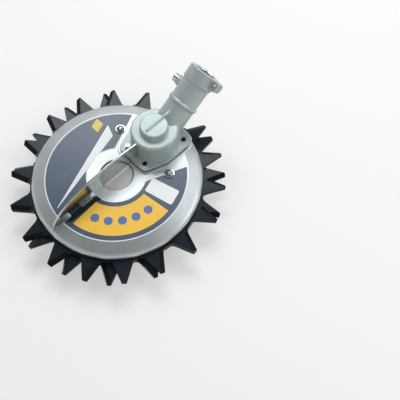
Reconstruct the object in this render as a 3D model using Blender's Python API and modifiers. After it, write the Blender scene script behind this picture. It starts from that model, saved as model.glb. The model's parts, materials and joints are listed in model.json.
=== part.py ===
"""Weeding head for a brush cutter.

Two toothed blades swing against each other under a pressed cover. A bevel gear case on the cover clamps
on the pipe of a brush cutter and turns a crank, whose two opposed eccentrics drive the blades. A moulded
ground plate hangs under the hub on shoulder bolts, which it grips with keyholes.

Units are metres and +Z is up. +Y runs from the blade axis to the pipe. Z = 0 is the ground that the plate
glides on, and the origin is the middle of the footprint.
"""

import math

import bmesh
import bpy
from mathutils import Matrix
from mathutils import Vector

MM = 0.001
GAP = 0.3 * MM
OVERRUN = 5 * MM
SMOOTH_LIMIT = math.radians(32)

# Blades: the tip circle is the size that all the others were scaled from
TIP_RADIUS = 115 * MM
TIP_HALF_WIDTH = 2.4 * MM
FLANK_ANGLE = math.radians(20)
ROOT_RADIUS = 93 * MM
ROOT_FILLET_RADIUS = 95.5 * MM
ROOT_FILLET_SPREAD = 1.2 * MM
ROOT_SHARE = 0.94
BLADE_THICKNESS = 4 * MM
UPPER_TEETH = 18
LOWER_TEETH = 15
TOOTH_PHASE = math.radians(1.4)
GRIND_RUN = 4.6 * MM
GRIND_EDGE = 0.6 * MM
LOWER_LAND = 1.1 * MM
BLADE_BORE_RADIUS = 31.4 * MM

# Levels of the stack, counted from the plane between the blades
BLADE_PLANE = 24 * MM
BLADE_GAP = 0.2 * MM
UPPER_BLADE_LOW = BLADE_PLANE + BLADE_GAP
LOWER_BLADE_LOW = BLADE_PLANE - BLADE_GAP - BLADE_THICKNESS
WEAR_RING_THICKNESS = 0.8 * MM
UPPER_RING_LOW = UPPER_BLADE_LOW + BLADE_THICKNESS + GAP
UPPER_RING_HIGH = UPPER_RING_LOW + WEAR_RING_THICKNESS
LOWER_RING_HIGH = LOWER_BLADE_LOW - GAP
LOWER_RING_LOW = LOWER_RING_HIGH - WEAR_RING_THICKNESS
BASE_LOW = UPPER_RING_HIGH + GAP
BASE_HIGH = BLADE_PLANE + 11.3 * MM
RETAINER_HIGH = LOWER_RING_LOW - GAP
HUB_LOW = RETAINER_HIGH + GAP
COVER_TOP = BLADE_PLANE + 16 * MM
COVER_SHEET = 1.5 * MM
COVER_UNDER = COVER_TOP - COVER_SHEET
PAD_TOP = COVER_TOP + 1 * MM
PAD_LOW = COVER_TOP - 9 * MM
GASKET_LOW = PAD_TOP + GAP
GASKET_HIGH = GASKET_LOW + 0.7 * MM
FLANGE_LOW = GASKET_HIGH + GAP
FLANGE_HIGH = BLADE_PLANE + 21 * MM
LEDGE_Z = BLADE_PLANE + 43 * MM
CAP_Z = BLADE_PLANE + 50 * MM
WEB_Z = BLADE_PLANE + 52.5 * MM
APEX_Z = BLADE_PLANE + 18 * MM

# Cover and hub
COVER_HOLE_RADIUS = 18 * MM
COVER_FLAT_RADIUS = 75.5 * MM
RIM_SHOULDER_RADIUS = 88.6 * MM
RIM_SHOULDER_Z = COVER_TOP - 4.2 * MM
RIM_RADIUS = 90.5 * MM
RIM_WALL_Z = COVER_TOP - 6 * MM
RIM_LOW = COVER_TOP - 10.4 * MM
RIM_INSET = 1.1 * MM
BASE_RADIUS = 74.4 * MM
BASE_CHAMFER = 1 * MM
HUB_RADIUS = 31 * MM
WEAR_RING_RADIUS = 40 * MM
RETAINER_RADIUS = 41 * MM
RETAINER_HOLE_RADIUS = 17 * MM
POST_RADIUS = 5.5 * MM

# Gear case, with radii counted from the crank's axis
DRUM_RADIUS = 24.9 * MM
DRUM_FOOT_RADIUS = 25.8 * MM
LEDGE_CHAMFER = 1.6 * MM
CAP_RADIUS = 14.6 * MM
CAP_CHAMFER = 1.2 * MM
CAVITY_RADIUS = 21 * MM
ROOF = 3 * MM
LEDGE_WALL = 3.5 * MM
WEB_HALF_THICKNESS = 1.1 * MM
WEB_FRONT = -10.5 * MM
WEB_BACK = 26 * MM
WEB_ROOT_FRONT = 2 * MM
WEB_ROOT_BACK = 12 * MM
FRONT_SCREW = (13.2 * MM, -28 * MM)
REAR_SCREW = (20.8 * MM, 21.1 * MM)
# The foot is a belt round eight circles, of which these are the right-hand four
FLANGE_NOSE = (14.8 * MM, -28.4 * MM, 6.8 * MM)
FLANGE_CORNERS = [
    FLANGE_NOSE, (24 * MM, -8.5 * MM, 5.2 * MM), (23 * MM, 18.5 * MM, 6.5 * MM), (18.5 * MM, 23 * MM, 6.5 * MM)]
PAD_MARGIN = 2.6 * MM

# Pipe socket, measured along its own axis from the point where it meets the crank's axis
PIPE_TILT = math.radians(34.5)
PIPE_END = 90.8 * MM
PIPE_STOP = 54 * MM
PIPE_BORE_RADIUS = 13.2 * MM
BORE_CHAMFER = 1 * MM
NECK_START = 10 * MM
NECK_RADIUS = 15.5 * MM
BAND_START = 74.5 * MM
BAND_SLOPE = 1.2 * MM
BAND_RADIUS = 16.9 * MM
MOUTH_CHAMFER = 0.8 * MM
BEAD_PLACE = 50.4 * MM
BEAD_RADIUS = 16.6 * MM
BEAD_HALF_CREST = 1 * MM
BEAD_HALF_FOOT = 2.4 * MM
NECK_BEARING_RADIUS = 11 * MM
BEARING_SEAT_START = 20.5 * MM
SHAFT_WAY_RADIUS = 10 * MM
SHAFT_WAY_START = 12 * MM
LOCATOR_PLACE = 66.2 * MM
LOCATOR_FACE = 20 * MM
LOCATOR_ROOT = 12 * MM
LOCATOR_BOSS_RADIUS = 5.6 * MM
LOCATOR_HOLE_RADIUS = 2.8 * MM
EAR_START = 79.5 * MM
EAR_END = PIPE_END - 0.5 * MM
EAR_INNER = 13.5 * MM
EAR_OUTER = 24 * MM
EAR_HALF_HEIGHT = 6 * MM
SLIT_HALF_WIDTH = 0.9 * MM
SLIT_ROOT = 10 * MM
CLAMP_PLACE = 85.6 * MM
CLAMP_X = 19.4 * MM
CLAMP_HOLE_RADIUS = 2.3 * MM

# Crank, its eccentrics and the windows that they work in
CRANK_OFFSET = 56.5 * MM
ECCENTRICITY = 4 * MM
ECCENTRIC_RADIUS = 6.7 * MM
ECCENTRIC_JOIN = 0.5 * MM
ROLLER_RADIUS = 9 * MM
ROLLER_HEIGHT = 3.5 * MM
WINDOW_RADIUS = ROLLER_RADIUS + ECCENTRICITY + 0.5 * MM
CRANK_JOURNAL_RADIUS = 8.2 * MM
CRANK_COLLAR_RADIUS = 9.7 * MM
CRANK_COLLAR_HEIGHT = 3 * MM
CRANK_SHAFT_RADIUS = 5.8 * MM
GEAR_SEAT_RADIUS = 5 * MM
GEAR_SEAT_LOW = APEX_Z + 9 * MM
CRANK_END_RADIUS = 4 * MM
CRANK_HEADROOM = 0.6 * MM
LOWER_BEARING_RADIUS = 13 * MM
LOWER_SEAT_SHELF = 0.9 * MM
TOP_BEARING_LOW = LEDGE_Z - 3 * MM
TOP_BEARING_WIDTH = 6.6 * MM

# Input shaft and the pieces on it, measured along the pipe's axis
INPUT_RADIUS = 4 * MM
INPUT_START = 13 * MM
INPUT_END = 66 * MM
INPUT_CHAMFER = 0.8 * MM
DRIVE_FLAT = 2.9 * MM
DRIVE_START = 52 * MM
INPUT_BEARING_START = 25 * MM
INPUT_BEARING_WIDTH = 7 * MM
CIRCLIP_RADIUS = 9 * MM
CIRCLIP_WIDTH = 1 * MM

# Bevel gears with straight teeth that run to one apex; heights of a tooth are in modules
GEAR_TEETH = 17
PINION_TEETH = 12
GEAR_HEEL_HEIGHT = 17.5 * MM
FACE_WIDTH = 6.5 * MM
ADDENDUM = 0.85
DEDENDUM = 1.2
TOOTH_SHARE = 0.41
PRESSURE_ANGLE = math.radians(20)
GEAR_BACK = 2.2 * MM
PINION_BACK = 3 * MM
GEAR_BACK_INSET = 0.4 * MM

# Fasteners: head radius, head height, shank radius and shank length
LOCATING_SCREW = (4.6 * MM, 5 * MM, 2.5 * MM, 6.8 * MM)
CLAMP_SCREW = (3.7 * MM, 4 * MM, 2 * MM, 15 * MM)
CASE_SCREW = (2.5 * MM, 2 * MM, 2 * MM, 7 * MM)
CASE_SCREW_SINK = 2.6 * MM
CASE_HOLE_RADIUS = 2.8 * MM
FIN_BOLT = (3.6 * MM, 3.4 * MM, 2 * MM, 10 * MM)
COVER_SCREW_CIRCLE = 55 * MM
COVER_SCREW_ANGLE = math.radians(44)
COVER_SCREW_RADIUS = 2 * MM
COVER_SCREW_LENGTH = 9 * MM
PAN_HEAD = [(0, 2.6 * MM), (2.4 * MM, 2.6 * MM), (4 * MM, 1.6 * MM), (4.6 * MM, 0.8 * MM), (4.6 * MM, 0)]
HUB_BOLT_COUNT = 5
HUB_BOLT_CIRCLE = 26 * MM
HUB_BOLT_RADIUS = 2.2 * MM
HUB_BOLT_HEAD_RADIUS = 3.7 * MM
HUB_BOLT_HEAD_HEIGHT = 4 * MM
HUB_BOLT_TOP = BLADE_PLANE + 2 * MM

# Ground plate, with its glide ring on Z = 0
PLATE_HOLE_RADIUS = 19.5 * MM
PLATE_FLANGE_LOW = 13 * MM
PLATE_FLANGE_HIGH = 15.5 * MM
PLATE_FLANGE_RADIUS = 36.2 * MM
PLATE_WALL = 2.5 * MM
GLIDE_INNER = 47 * MM
GLIDE_OUTER = 64.5 * MM
PLATE_SLOPE_RADIUS = 72 * MM
PLATE_RIM_RADIUS = 82 * MM
PLATE_RIM_LOW = 10.6 * MM
PLATE_RIM_HIGH = 13.1 * MM
PLATE_LIP = 1 * MM
PLATE_LIP_WIDTH = 2.5 * MM
WALL_LEAN = 1.8 * MM
LOBE_COUNT = 5
LOBE_CIRCLE = 81 * MM
LOBE_RADIUS = 9 * MM
KEYHOLE_HALF_ANGLE = math.radians(17.6)
KEYHOLE_HALF_WIDTH = 2.6 * MM
KEYHOLE_EYE_RADIUS = 4 * MM

# Fin: a swollen ellipse over the blade plane, about a middle ahead of the blade axis
FIN_THICKNESS = 2 * MM
FIN_MIDDLE = -5 * MM
FIN_REACH = 84 * MM
FIN_RISE = 45.7 * MM
FIN_POWER = 2.4
FIN_BACK_TURN = math.radians(-25.4)
FIN_NOSE_TURN = math.radians(75.6)
FIN_TABS = (-31 * MM, -64 * MM)
FIN_TAB_SIZE = (4.4 * MM, 19 * MM, 1.4 * MM)

# The footprint's middle lies between the foremost tooth and the lowest point of the socket's mouth
FRONT_TOOTH = TOOTH_PHASE + 2 * math.pi * 11 / LOWER_TEETH
BLADE_REACH = -TIP_RADIUS * math.sin(FRONT_TOOTH) - TIP_HALF_WIDTH * math.cos(FRONT_TOOTH)
MOUTH_RADIUS = BAND_RADIUS - MOUTH_CHAMFER
PIPE_REACH = CRANK_OFFSET + PIPE_END * math.cos(PIPE_TILT) + MOUTH_RADIUS * math.sin(PIPE_TILT)
DISC_Y = (BLADE_REACH - PIPE_REACH) / 2
DISC_AXIS = Vector((0, DISC_Y, 0))
CRANK_AXIS = Vector((0, DISC_Y + CRANK_OFFSET, 0))
APEX = CRANK_AXIS + Vector((0, 0, APEX_Z))
PIPE_TURN = (PIPE_TILT - math.pi / 2, 0, 0)
SHAFT_ANGLE = math.pi / 2 - PIPE_TILT
TOOTH_RATIO = GEAR_TEETH / PINION_TEETH
PINION_CONE = math.atan2(math.sin(SHAFT_ANGLE), TOOTH_RATIO + math.cos(SHAFT_ANGLE))
GEAR_CONE = SHAFT_ANGLE - PINION_CONE
CONE_DISTANCE = GEAR_HEEL_HEIGHT / math.cos(GEAR_CONE)


def clear_scene():
    """Start from an empty scene with one collection for the parts and one for the cutters."""
    for item in list(bpy.data.objects):
        bpy.data.objects.remove(item, do_unlink=True)
    for name in ("weeding_head", "cutters"):
        bpy.context.scene.collection.children.link(bpy.data.collections.new(name))


def finish(name, colour, metallic, roughness):
    """A Principled material."""
    made = bpy.data.materials.new(name)
    made.use_nodes = True
    shader = made.node_tree.nodes["Principled BSDF"]
    shader.inputs["Base Color"].default_value = (*colour, 1)
    shader.inputs["Metallic"].default_value = metallic
    shader.inputs["Roughness"].default_value = roughness
    return made


def part(name, mesh, look, place=(0, 0, 0), turn=(0, 0, 0)):
    """A named piece of the object."""
    item = bpy.data.objects.new(name, mesh)
    item.location = place
    item.rotation_euler = turn
    mesh.materials.append(look)
    bpy.data.collections["weeding_head"].objects.link(item)
    return item


def tool(mesh, place=(0, 0, 0), turn=(0, 0, 0)):
    """A body that only cuts or joins, and is no piece of the object."""
    item = bpy.data.objects.new(mesh.name, mesh)
    item.location = place
    item.rotation_euler = turn
    item.hide_render = True
    item.display_type = "WIRE"
    bpy.data.collections["cutters"].objects.link(item)
    return item


def combine(item, operation, others):
    """Keep Booleans of other bodies on an item."""
    for other in others:
        step = item.modifiers.new(other.name, "BOOLEAN")
        step.operation = operation
        step.solver = "EXACT"
        step.object = other


def cut(item, *others):
    combine(item, "DIFFERENCE", others)


def join(item, *others):
    combine(item, "UNION", others)


def smooth_by_angle():
    """A node group that shades a piece smooth, except over edges that bend further than the limit."""
    group = bpy.data.node_groups.new("smooth_by_angle", "GeometryNodeTree")
    for way in ("INPUT", "OUTPUT"):
        group.interface.new_socket("Geometry", in_out=way, socket_type="NodeSocketGeometry")
    start = group.nodes.new("NodeGroupInput")
    end = group.nodes.new("NodeGroupOutput")
    faces = group.nodes.new("GeometryNodeSetShadeSmooth")
    edges = group.nodes.new("GeometryNodeSetShadeSmooth")
    edges.domain = "EDGE"
    bend = group.nodes.new("GeometryNodeInputMeshEdgeAngle")
    soft = group.nodes.new("ShaderNodeMath")
    soft.operation = "LESS_THAN"
    soft.inputs[1].default_value = SMOOTH_LIMIT
    group.links.new(start.outputs[0], faces.inputs["Geometry"])
    group.links.new(faces.outputs[0], edges.inputs["Geometry"])
    group.links.new(bend.outputs["Unsigned Angle"], soft.inputs[0])
    group.links.new(soft.outputs[0], edges.inputs["Shade Smooth"])
    group.links.new(edges.outputs[0], end.inputs[0])
    return group


def mesh_from(shape, name):
    """Turn an edited bmesh into mesh data with its faces pointing out."""
    bmesh.ops.recalc_face_normals(shape, faces=shape.faces)
    mesh = bpy.data.meshes.new(name)
    shape.to_mesh(mesh)
    shape.free()
    return mesh


def evaluated(item):
    """Mesh data of an object with its modifiers or its curve made solid; the object goes."""
    bpy.context.view_layer.update()
    graph = bpy.context.evaluated_depsgraph_get()
    mesh = bpy.data.meshes.new_from_object(item.evaluated_get(graph))
    bpy.data.objects.remove(item, do_unlink=True)
    return mesh


def profile(name, points, closed=False):
    """A line of (radius, height) points in the XZ plane, ready for a Screw modifier."""
    edges = [(i, i + 1) for i in range(len(points) - 1)]
    if closed:
        edges.append((len(points) - 1, 0))
    mesh = bpy.data.meshes.new(name)
    mesh.from_pydata([(radius, 0, height) for radius, height in points], edges, [])
    return mesh


def spin(item, steps):
    """Turn a profile round its Z axis."""
    turn = item.modifiers.new("turned", "SCREW")
    turn.axis = "Z"
    turn.angle = 2 * math.pi
    turn.screw_offset = 0
    turn.steps = steps
    turn.render_steps = steps
    turn.use_merge_vertices = True
    turn.merge_threshold = 0.00001
    return item


def rod(name, radius, low, high, sides=32, at=(0, 0)):
    """A plain cylinder along Z."""
    shape = bmesh.new()
    bmesh.ops.create_cone(
        shape, cap_ends=True, segments=sides, radius1=radius, radius2=radius, depth=high - low,
        matrix=Matrix.Translation((at[0], at[1], (low + high) / 2)))
    return mesh_from(shape, name)


def box(name, low, high):
    """A box between two corners."""
    size = [b - a for a, b in zip(low, high)]
    middle = [(a + b) / 2 for a, b in zip(low, high)]
    shape = bmesh.new()
    bmesh.ops.create_cube(shape, size=1, matrix=Matrix.Translation(middle) @ Matrix.Diagonal((*size, 1)))
    return mesh_from(shape, name)


def slab(name, loops, low, high):
    """A flat outline with its holes, as a filled curve given thickness and made into a welded mesh."""
    curve = bpy.data.curves.new(name, "CURVE")
    curve.dimensions = "2D"
    curve.fill_mode = "BOTH"
    curve.extrude = (high - low) / 2
    for loop in loops:
        line = curve.splines.new("POLY")
        line.points.add(len(loop) - 1)
        for point, (x, y) in zip(line.points, loop):
            point.co = (x, y, 0, 1)
        line.use_cyclic_u = True
    holder = bpy.data.objects.new(name, curve)
    bpy.context.scene.collection.objects.link(holder)
    flat = evaluated(holder)
    shape = bmesh.new()
    shape.from_mesh(flat)
    bmesh.ops.remove_doubles(shape, verts=shape.verts, dist=0.000001)
    bmesh.ops.translate(shape, verts=shape.verts, vec=(0, 0, (low + high) / 2))
    bpy.data.meshes.remove(flat)
    return mesh_from(shape, name)


def copies(mesh, matrices):
    """Several placed copies of one mesh, as one mesh."""
    shape = bmesh.new()
    for matrix in matrices:
        start = len(shape.verts)
        shape.from_mesh(mesh)
        shape.verts.ensure_lookup_table()
        bmesh.ops.transform(shape, matrix=matrix, verts=shape.verts[start:])
    return mesh_from(shape, mesh.name + "_set")


def moves(places):
    """Matrices that carry a copy to each (x, y) place."""
    return [Matrix.Translation((x, y, 0)) for x, y in places]


def arc(centre, radius, start, end, steps):
    """Points along an arc, both ends included."""
    angles = [start + (end - start) * i / steps for i in range(steps + 1)]
    return [(centre[0] + radius * math.cos(a), centre[1] + radius * math.sin(a)) for a in angles]


def circle(centre, radius, steps):
    return arc(centre, radius, 0, 2 * math.pi, steps)[:-1]


def polar(radius, angle):
    return (radius * math.cos(angle), radius * math.sin(angle))


def belt(corners, margin=0):
    """The outline of a belt pulled round circles that are listed counterclockwise."""
    headings = []
    for i, (ax, ay, ar) in enumerate(corners):
        bx, by, br = corners[(i + 1) % len(corners)]
        lean = math.asin((ar - br) / math.hypot(bx - ax, by - ay))
        headings.append(math.atan2(by - ay, bx - ax) + lean - math.pi / 2)
    points = []
    for i, (x, y, radius) in enumerate(corners):
        start = headings[i - 1]
        end = start + (headings[i] - start) % (2 * math.pi)
        steps = max(2, round((end - start) / math.radians(24)))
        points += arc((x, y), radius + margin, start, end, steps)
    return points


def flange_outline(margin=0):
    """The gear case's foot: four circles on the right and their mirror images."""
    left = [(-x, y, radius) for x, y, radius in reversed(FLANGE_CORNERS)]
    return belt(FLANGE_CORNERS + left, margin)


def flange_screws():
    """Screw places of the foot, from the crank's axis: front right and left, then rear right and left."""
    return [(side * x, y) for x, y in (FRONT_SCREW, REAR_SCREW) for side in (1, -1)]


def cover_screws():
    """The cover's own screw places, from the blade axis."""
    return [polar(COVER_SCREW_CIRCLE, math.pi / 2 + side * COVER_SCREW_ANGLE) for side in (-1, 1)]


def hub_bolt_angles():
    return [math.pi / 2 + 2 * math.pi * i / HUB_BOLT_COUNT for i in range(HUB_BOLT_COUNT)]


def from_disc(places):
    """Places counted from the crank's axis, counted from the blade axis."""
    return [(x, y + CRANK_OFFSET) for x, y in places]


def side_view(axis):
    """Stands a flat outline up in the plane of symmetry: its X to world Y, its Y to world Z."""
    return Matrix.Translation(axis) @ Matrix(((0, 0, 1, 0), (1, 0, 0, 0), (0, 1, 0, 0), (0, 0, 0, 1)))


def pipe_point(x, axial):
    """A point of the pipe's frame, beside its axis."""
    return APEX + Vector((x, axial * math.cos(PIPE_TILT), axial * math.sin(PIPE_TILT)))


def clamp_frame():
    """The clamp screw's frame: its Z runs square to the slit, towards the top of the neck."""
    tilt = Matrix.Rotation(PIPE_TURN[0], 4, "X")
    local = Matrix.Translation((CLAMP_X, 0, CLAMP_PLACE)) @ Matrix.Rotation(math.pi / 2, 4, "X")
    return Matrix.Translation(APEX) @ tilt @ local


def ring(name, inner, outer, low, high, look, place, turn=(0, 0, 0), steps=20):
    """A plain turned ring."""
    section = [(inner, high), (outer, high), (outer, low), (inner, low)]
    return spin(part(name, profile(name, section, True), look, place, turn), steps)


def bearing(name, inner, outer, low, high, look, place, turn=(0, 0, 0)):
    """A shielded ball bearing: two races with a shield set back between them."""
    wall = (outer - inner) * 0.3
    shield = high - 0.5 * MM
    section = [
        (inner, high), (inner + wall, high), (inner + wall, shield), (outer - wall, shield),
        (outer - wall, high), (outer, high), (outer, low), (inner, low)]
    return spin(part(name, profile(name, section, True), look, place, turn), 16)


def screw(name, sizes, sides=14):
    """Mesh data of a cap screw that hangs from Z = 0."""
    head_radius, head_height, radius, length = sizes
    line = [
        (0, head_height), (head_radius, head_height), (head_radius, 0),
        (radius, 0), (radius, -length), (0, -length)]
    return evaluated(spin(tool(profile(name, line)), sides))


def tooth_outline(angle, teeth):
    """One tooth's outline, clockwise flank first, from root to root."""
    spread = TIP_HALF_WIDTH + (TIP_RADIUS - ROOT_RADIUS) * math.tan(FLANK_ANGLE) + ROOT_FILLET_SPREAD
    fillet = TIP_HALF_WIDTH + (TIP_RADIUS - ROOT_FILLET_RADIUS) * math.tan(FLANK_ANGLE)
    foot = min(spread / ROOT_RADIUS, ROOT_SHARE * math.pi / teeth)
    side = [polar(ROOT_RADIUS, foot), (ROOT_FILLET_RADIUS, fillet), (TIP_RADIUS, TIP_HALF_WIDTH)]
    points = [(x, -y) for x, y in side] + list(reversed(side))
    turn = Matrix.Rotation(angle, 2)
    return [tuple(turn @ Vector(point)) for point in points]


def window_outline():
    """The slot in a blade that an eccentric's roller swings in."""
    right = arc((ECCENTRICITY, CRANK_OFFSET), WINDOW_RADIUS, -math.pi / 2, math.pi / 2, 9)
    left = arc((-ECCENTRICITY, CRANK_OFFSET), WINDOW_RADIUS, math.pi / 2, 3 * math.pi / 2, 9)
    return right + left


def grind_matrix(angle, side, level):
    """Frame of a tooth's flank: X runs into the tooth, Y up and Z along the edge."""
    edge = Vector((TIP_RADIUS, side * TIP_HALF_WIDTH, 0))
    along = Vector((-math.cos(FLANK_ANGLE), side * math.sin(FLANK_ANGLE), 0))
    inward = Vector((-math.sin(FLANK_ANGLE), -side * math.cos(FLANK_ANGLE), 0))
    up = Vector((0, 0, 1))
    frame = Matrix((inward, up, along)).transposed().to_4x4()
    frame.translation = edge + up * level
    return Matrix.Rotation(angle, 4, "Z") @ frame


def build_blade(name, teeth, low, side, land, look):
    """A toothed ring whose teeth are ground on one flank."""
    angles = [TOOTH_PHASE + 2 * math.pi * i / teeth for i in range(teeth)]
    outline = [point for angle in angles for point in tooth_outline(angle, teeth)]
    loops = [outline, circle((0, 0), BLADE_BORE_RADIUS, 32), window_outline()]
    item = part(name, slab(name, loops, low, low + BLADE_THICKNESS), look, DISC_AXIS)
    top = BLADE_THICKNESS
    above = top + OVERRUN
    section = [
        (-OVERRUN, GRIND_EDGE), (land, GRIND_EDGE), (land + GRIND_RUN, top), (land + GRIND_RUN, above),
        (-OVERRUN, above)]
    flank = (TIP_RADIUS - ROOT_FILLET_RADIUS) / math.cos(FLANK_ANGLE)
    wheel = slab(name + "_grind", [section], -OVERRUN, flank)
    frames = [grind_matrix(angle, side, low) for angle in angles]
    cut(item, tool(copies(wheel, frames), DISC_AXIS))


def bevel_gear(name, teeth, cone, phase, bore, back, look, turn=(0, 0, 0)):
    """A straight bevel gear lofted from heel to toe, with every line running to the apex at its origin."""
    pitch_radius = CONE_DISTANCE * math.sin(cone)
    module = 2 * pitch_radius / teeth
    half_tooth = TOOTH_SHARE * math.pi * module / 2
    toe_scale = (CONE_DISTANCE - FACE_WIDTH) / CONE_DISTANCE

    def flank_point(height):
        radius = pitch_radius + height * module * math.cos(cone)
        axial = CONE_DISTANCE * math.cos(cone) - height * module * math.sin(cone)
        return radius, axial, (half_tooth - height * module * math.tan(PRESSURE_ANGLE)) / radius

    root = flank_point(-DEDENDUM)
    tip = flank_point(ADDENDUM)
    heel = []
    for i in range(teeth):
        centre = phase + 2 * math.pi * i / teeth
        for (radius, axial, half), sign in ((root, -1), (tip, -1), (tip, 1), (root, 1)):
            heel.append((radius, centre + sign * half, axial))
    angles = [angle for _, angle, _ in heel]
    toe = [(radius * toe_scale, angle, axial * toe_scale) for radius, angle, axial in heel]
    back_level = root[1] + back
    lines = [
        [(bore, angle, back_level) for angle in angles],
        [(root[0] - GEAR_BACK_INSET, angle, back_level) for angle in angles],
        heel,
        toe,
        [(bore, angle, root[1] * toe_scale) for angle in angles]]
    shape = bmesh.new()
    rows = []
    for line in lines:
        rows.append([shape.verts.new((*polar(radius, angle), axial)) for radius, angle, axial in line])
    for i, row in enumerate(rows):
        other = rows[(i + 1) % len(rows)]
        for j in range(len(row)):
            k = (j + 1) % len(row)
            shape.faces.new((row[j], row[k], other[k], other[j]))
    return part(name, mesh_from(shape, name), look, APEX, turn)


def case_neck():
    """The outside of the pipe socket: neck, bead and clamp band."""
    line = [
        (0, PIPE_END), (MOUTH_RADIUS, PIPE_END), (BAND_RADIUS, PIPE_END - MOUTH_CHAMFER),
        (BAND_RADIUS, BAND_START + BAND_SLOPE), (NECK_RADIUS, BAND_START),
        (NECK_RADIUS, BEAD_PLACE + BEAD_HALF_FOOT), (BEAD_RADIUS, BEAD_PLACE + BEAD_HALF_CREST),
        (BEAD_RADIUS, BEAD_PLACE - BEAD_HALF_CREST), (NECK_RADIUS, BEAD_PLACE - BEAD_HALF_FOOT),
        (NECK_RADIUS, NECK_START), (0, NECK_START)]
    return spin(tool(profile("case_neck", line), APEX, PIPE_TURN), 24)


def case_web():
    """The thin upright web from the cap to the neck."""
    outline = [
        (WEB_FRONT, CAP_Z - WEB_ROOT_FRONT), (WEB_BACK, CAP_Z - WEB_ROOT_BACK), (WEB_BACK, WEB_Z),
        (WEB_FRONT, WEB_Z)]
    web = tool(slab("case_web", [outline], -WEB_HALF_THICKNESS, WEB_HALF_THICKNESS))
    web.matrix_world = side_view(CRANK_AXIS)
    return web


def case_cavity():
    """The room for the crank's gear, with the top bearing's seat in the cap."""
    seat = NECK_BEARING_RADIUS + GAP
    floor = FLANGE_LOW - OVERRUN
    line = [
        (0, CAP_Z - ROOF), (seat, CAP_Z - ROOF), (seat, LEDGE_Z - LEDGE_WALL),
        (CAVITY_RADIUS, LEDGE_Z - LEDGE_WALL), (CAVITY_RADIUS, floor), (0, floor)]
    return spin(tool(profile("case_cavity", line), CRANK_AXIS), 24)


def case_bore():
    """The socket's bore for the pipe, the input bearings' seat and the way to the pinion."""
    mouth = PIPE_BORE_RADIUS + BORE_CHAMFER
    seat = NECK_BEARING_RADIUS + GAP
    line = [
        (0, PIPE_END + OVERRUN), (mouth, PIPE_END + OVERRUN), (mouth, PIPE_END),
        (PIPE_BORE_RADIUS, PIPE_END - BORE_CHAMFER), (PIPE_BORE_RADIUS, PIPE_STOP), (seat, PIPE_STOP),
        (seat, BEARING_SEAT_START), (SHAFT_WAY_RADIUS, BEARING_SEAT_START),
        (SHAFT_WAY_RADIUS, SHAFT_WAY_START), (0, SHAFT_WAY_START)]
    return spin(tool(profile("case_bore", line), APEX, PIPE_TURN), 24)


def build_gear_case(look):
    """The casting: foot flange, drum with its cap, web, neck, locator boss and split clamp."""
    drum = [
        (0, CAP_Z), (CAP_RADIUS - CAP_CHAMFER, CAP_Z), (CAP_RADIUS, CAP_Z - CAP_CHAMFER),
        (CAP_RADIUS, LEDGE_Z), (DRUM_RADIUS - LEDGE_CHAMFER, LEDGE_Z), (DRUM_RADIUS, LEDGE_Z - LEDGE_CHAMFER),
        (DRUM_FOOT_RADIUS, FLANGE_LOW), (0, FLANGE_LOW)]
    case = spin(part("gear_case", profile("gear_case", drum), look, CRANK_AXIS), 32)
    foot = tool(slab("case_foot", [flange_outline()], FLANGE_LOW, FLANGE_HIGH), CRANK_AXIS)
    across = (0, math.pi / 2, 0)
    locator = pipe_point(0, LOCATOR_PLACE)
    boss = tool(rod("locator_boss", LOCATOR_BOSS_RADIUS, -LOCATOR_FACE, -LOCATOR_ROOT, 18), locator, across)
    ear_low = (EAR_INNER, -EAR_HALF_HEIGHT, EAR_START)
    ears = tool(box("clamp_ears", ear_low, (EAR_OUTER, EAR_HALF_HEIGHT, EAR_END)), APEX, PIPE_TURN)
    join(case, foot, case_neck(), case_web(), boss, ears)
    wide = 3 * DRUM_RADIUS
    below = box("case_below", (-wide, -wide, 0), (wide, wide, FLANGE_LOW))
    slit_high = (EAR_OUTER + OVERRUN, SLIT_HALF_WIDTH, PIPE_END + OVERRUN)
    slit = tool(box("clamp_slit", (SLIT_ROOT, -SLIT_HALF_WIDTH, BAND_START), slit_high), APEX, PIPE_TURN)
    locator_hole = rod("locator_hole", LOCATOR_HOLE_RADIUS, -LOCATOR_FACE - OVERRUN, 0, 14)
    long = 3 * EAR_HALF_HEIGHT
    clamp_hole = tool(rod("clamp_hole", CLAMP_HOLE_RADIUS, -long, long, 12))
    clamp_hole.matrix_world = clamp_frame()
    screw_hole = rod("case_screw_hole", CASE_HOLE_RADIUS, FLANGE_LOW - OVERRUN, FLANGE_HIGH + OVERRUN, 10)
    screw_holes = tool(copies(screw_hole, moves(flange_screws())), CRANK_AXIS)
    cut(case, tool(below, CRANK_AXIS), case_cavity(), case_bore(), slit, tool(locator_hole, locator, across))
    cut(case, clamp_hole, screw_holes)


def build_pipe_fasteners(look):
    """The locating screw on the left of the neck and the pinch screw through the clamp's ears."""
    place = pipe_point(-LOCATOR_FACE - GAP, LOCATOR_PLACE)
    part("locating_screw", screw("locating_screw", LOCATING_SCREW), look, place, (0, -math.pi / 2, 0))
    pinch = part("clamp_screw", screw("clamp_screw", CLAMP_SCREW), look)
    seat = Matrix.Translation((0, 0, EAR_HALF_HEIGHT + GAP))
    pinch.matrix_world = clamp_frame() @ Matrix.Rotation(math.pi, 4, "X") @ seat


def build_case_screws(dark, bright):
    """Three dark screws sunk in the flange, and a bright one at the fin's root."""
    front_right, front_left, rear_right, rear_left = flange_screws()
    sunk = screw("case_screw", CASE_SCREW, 10)
    for i, (x, y) in enumerate((front_right, rear_right, rear_left)):
        place = CRANK_AXIS + Vector((x, y, FLANGE_HIGH - CASE_SCREW_SINK))
        part("case_screw_%d" % (i + 1), sunk.copy(), dark, place)
    place = CRANK_AXIS + Vector((*front_left, FLANGE_HIGH + GAP))
    part("fin_bolt", screw("fin_bolt", FIN_BOLT), bright, place)


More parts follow.
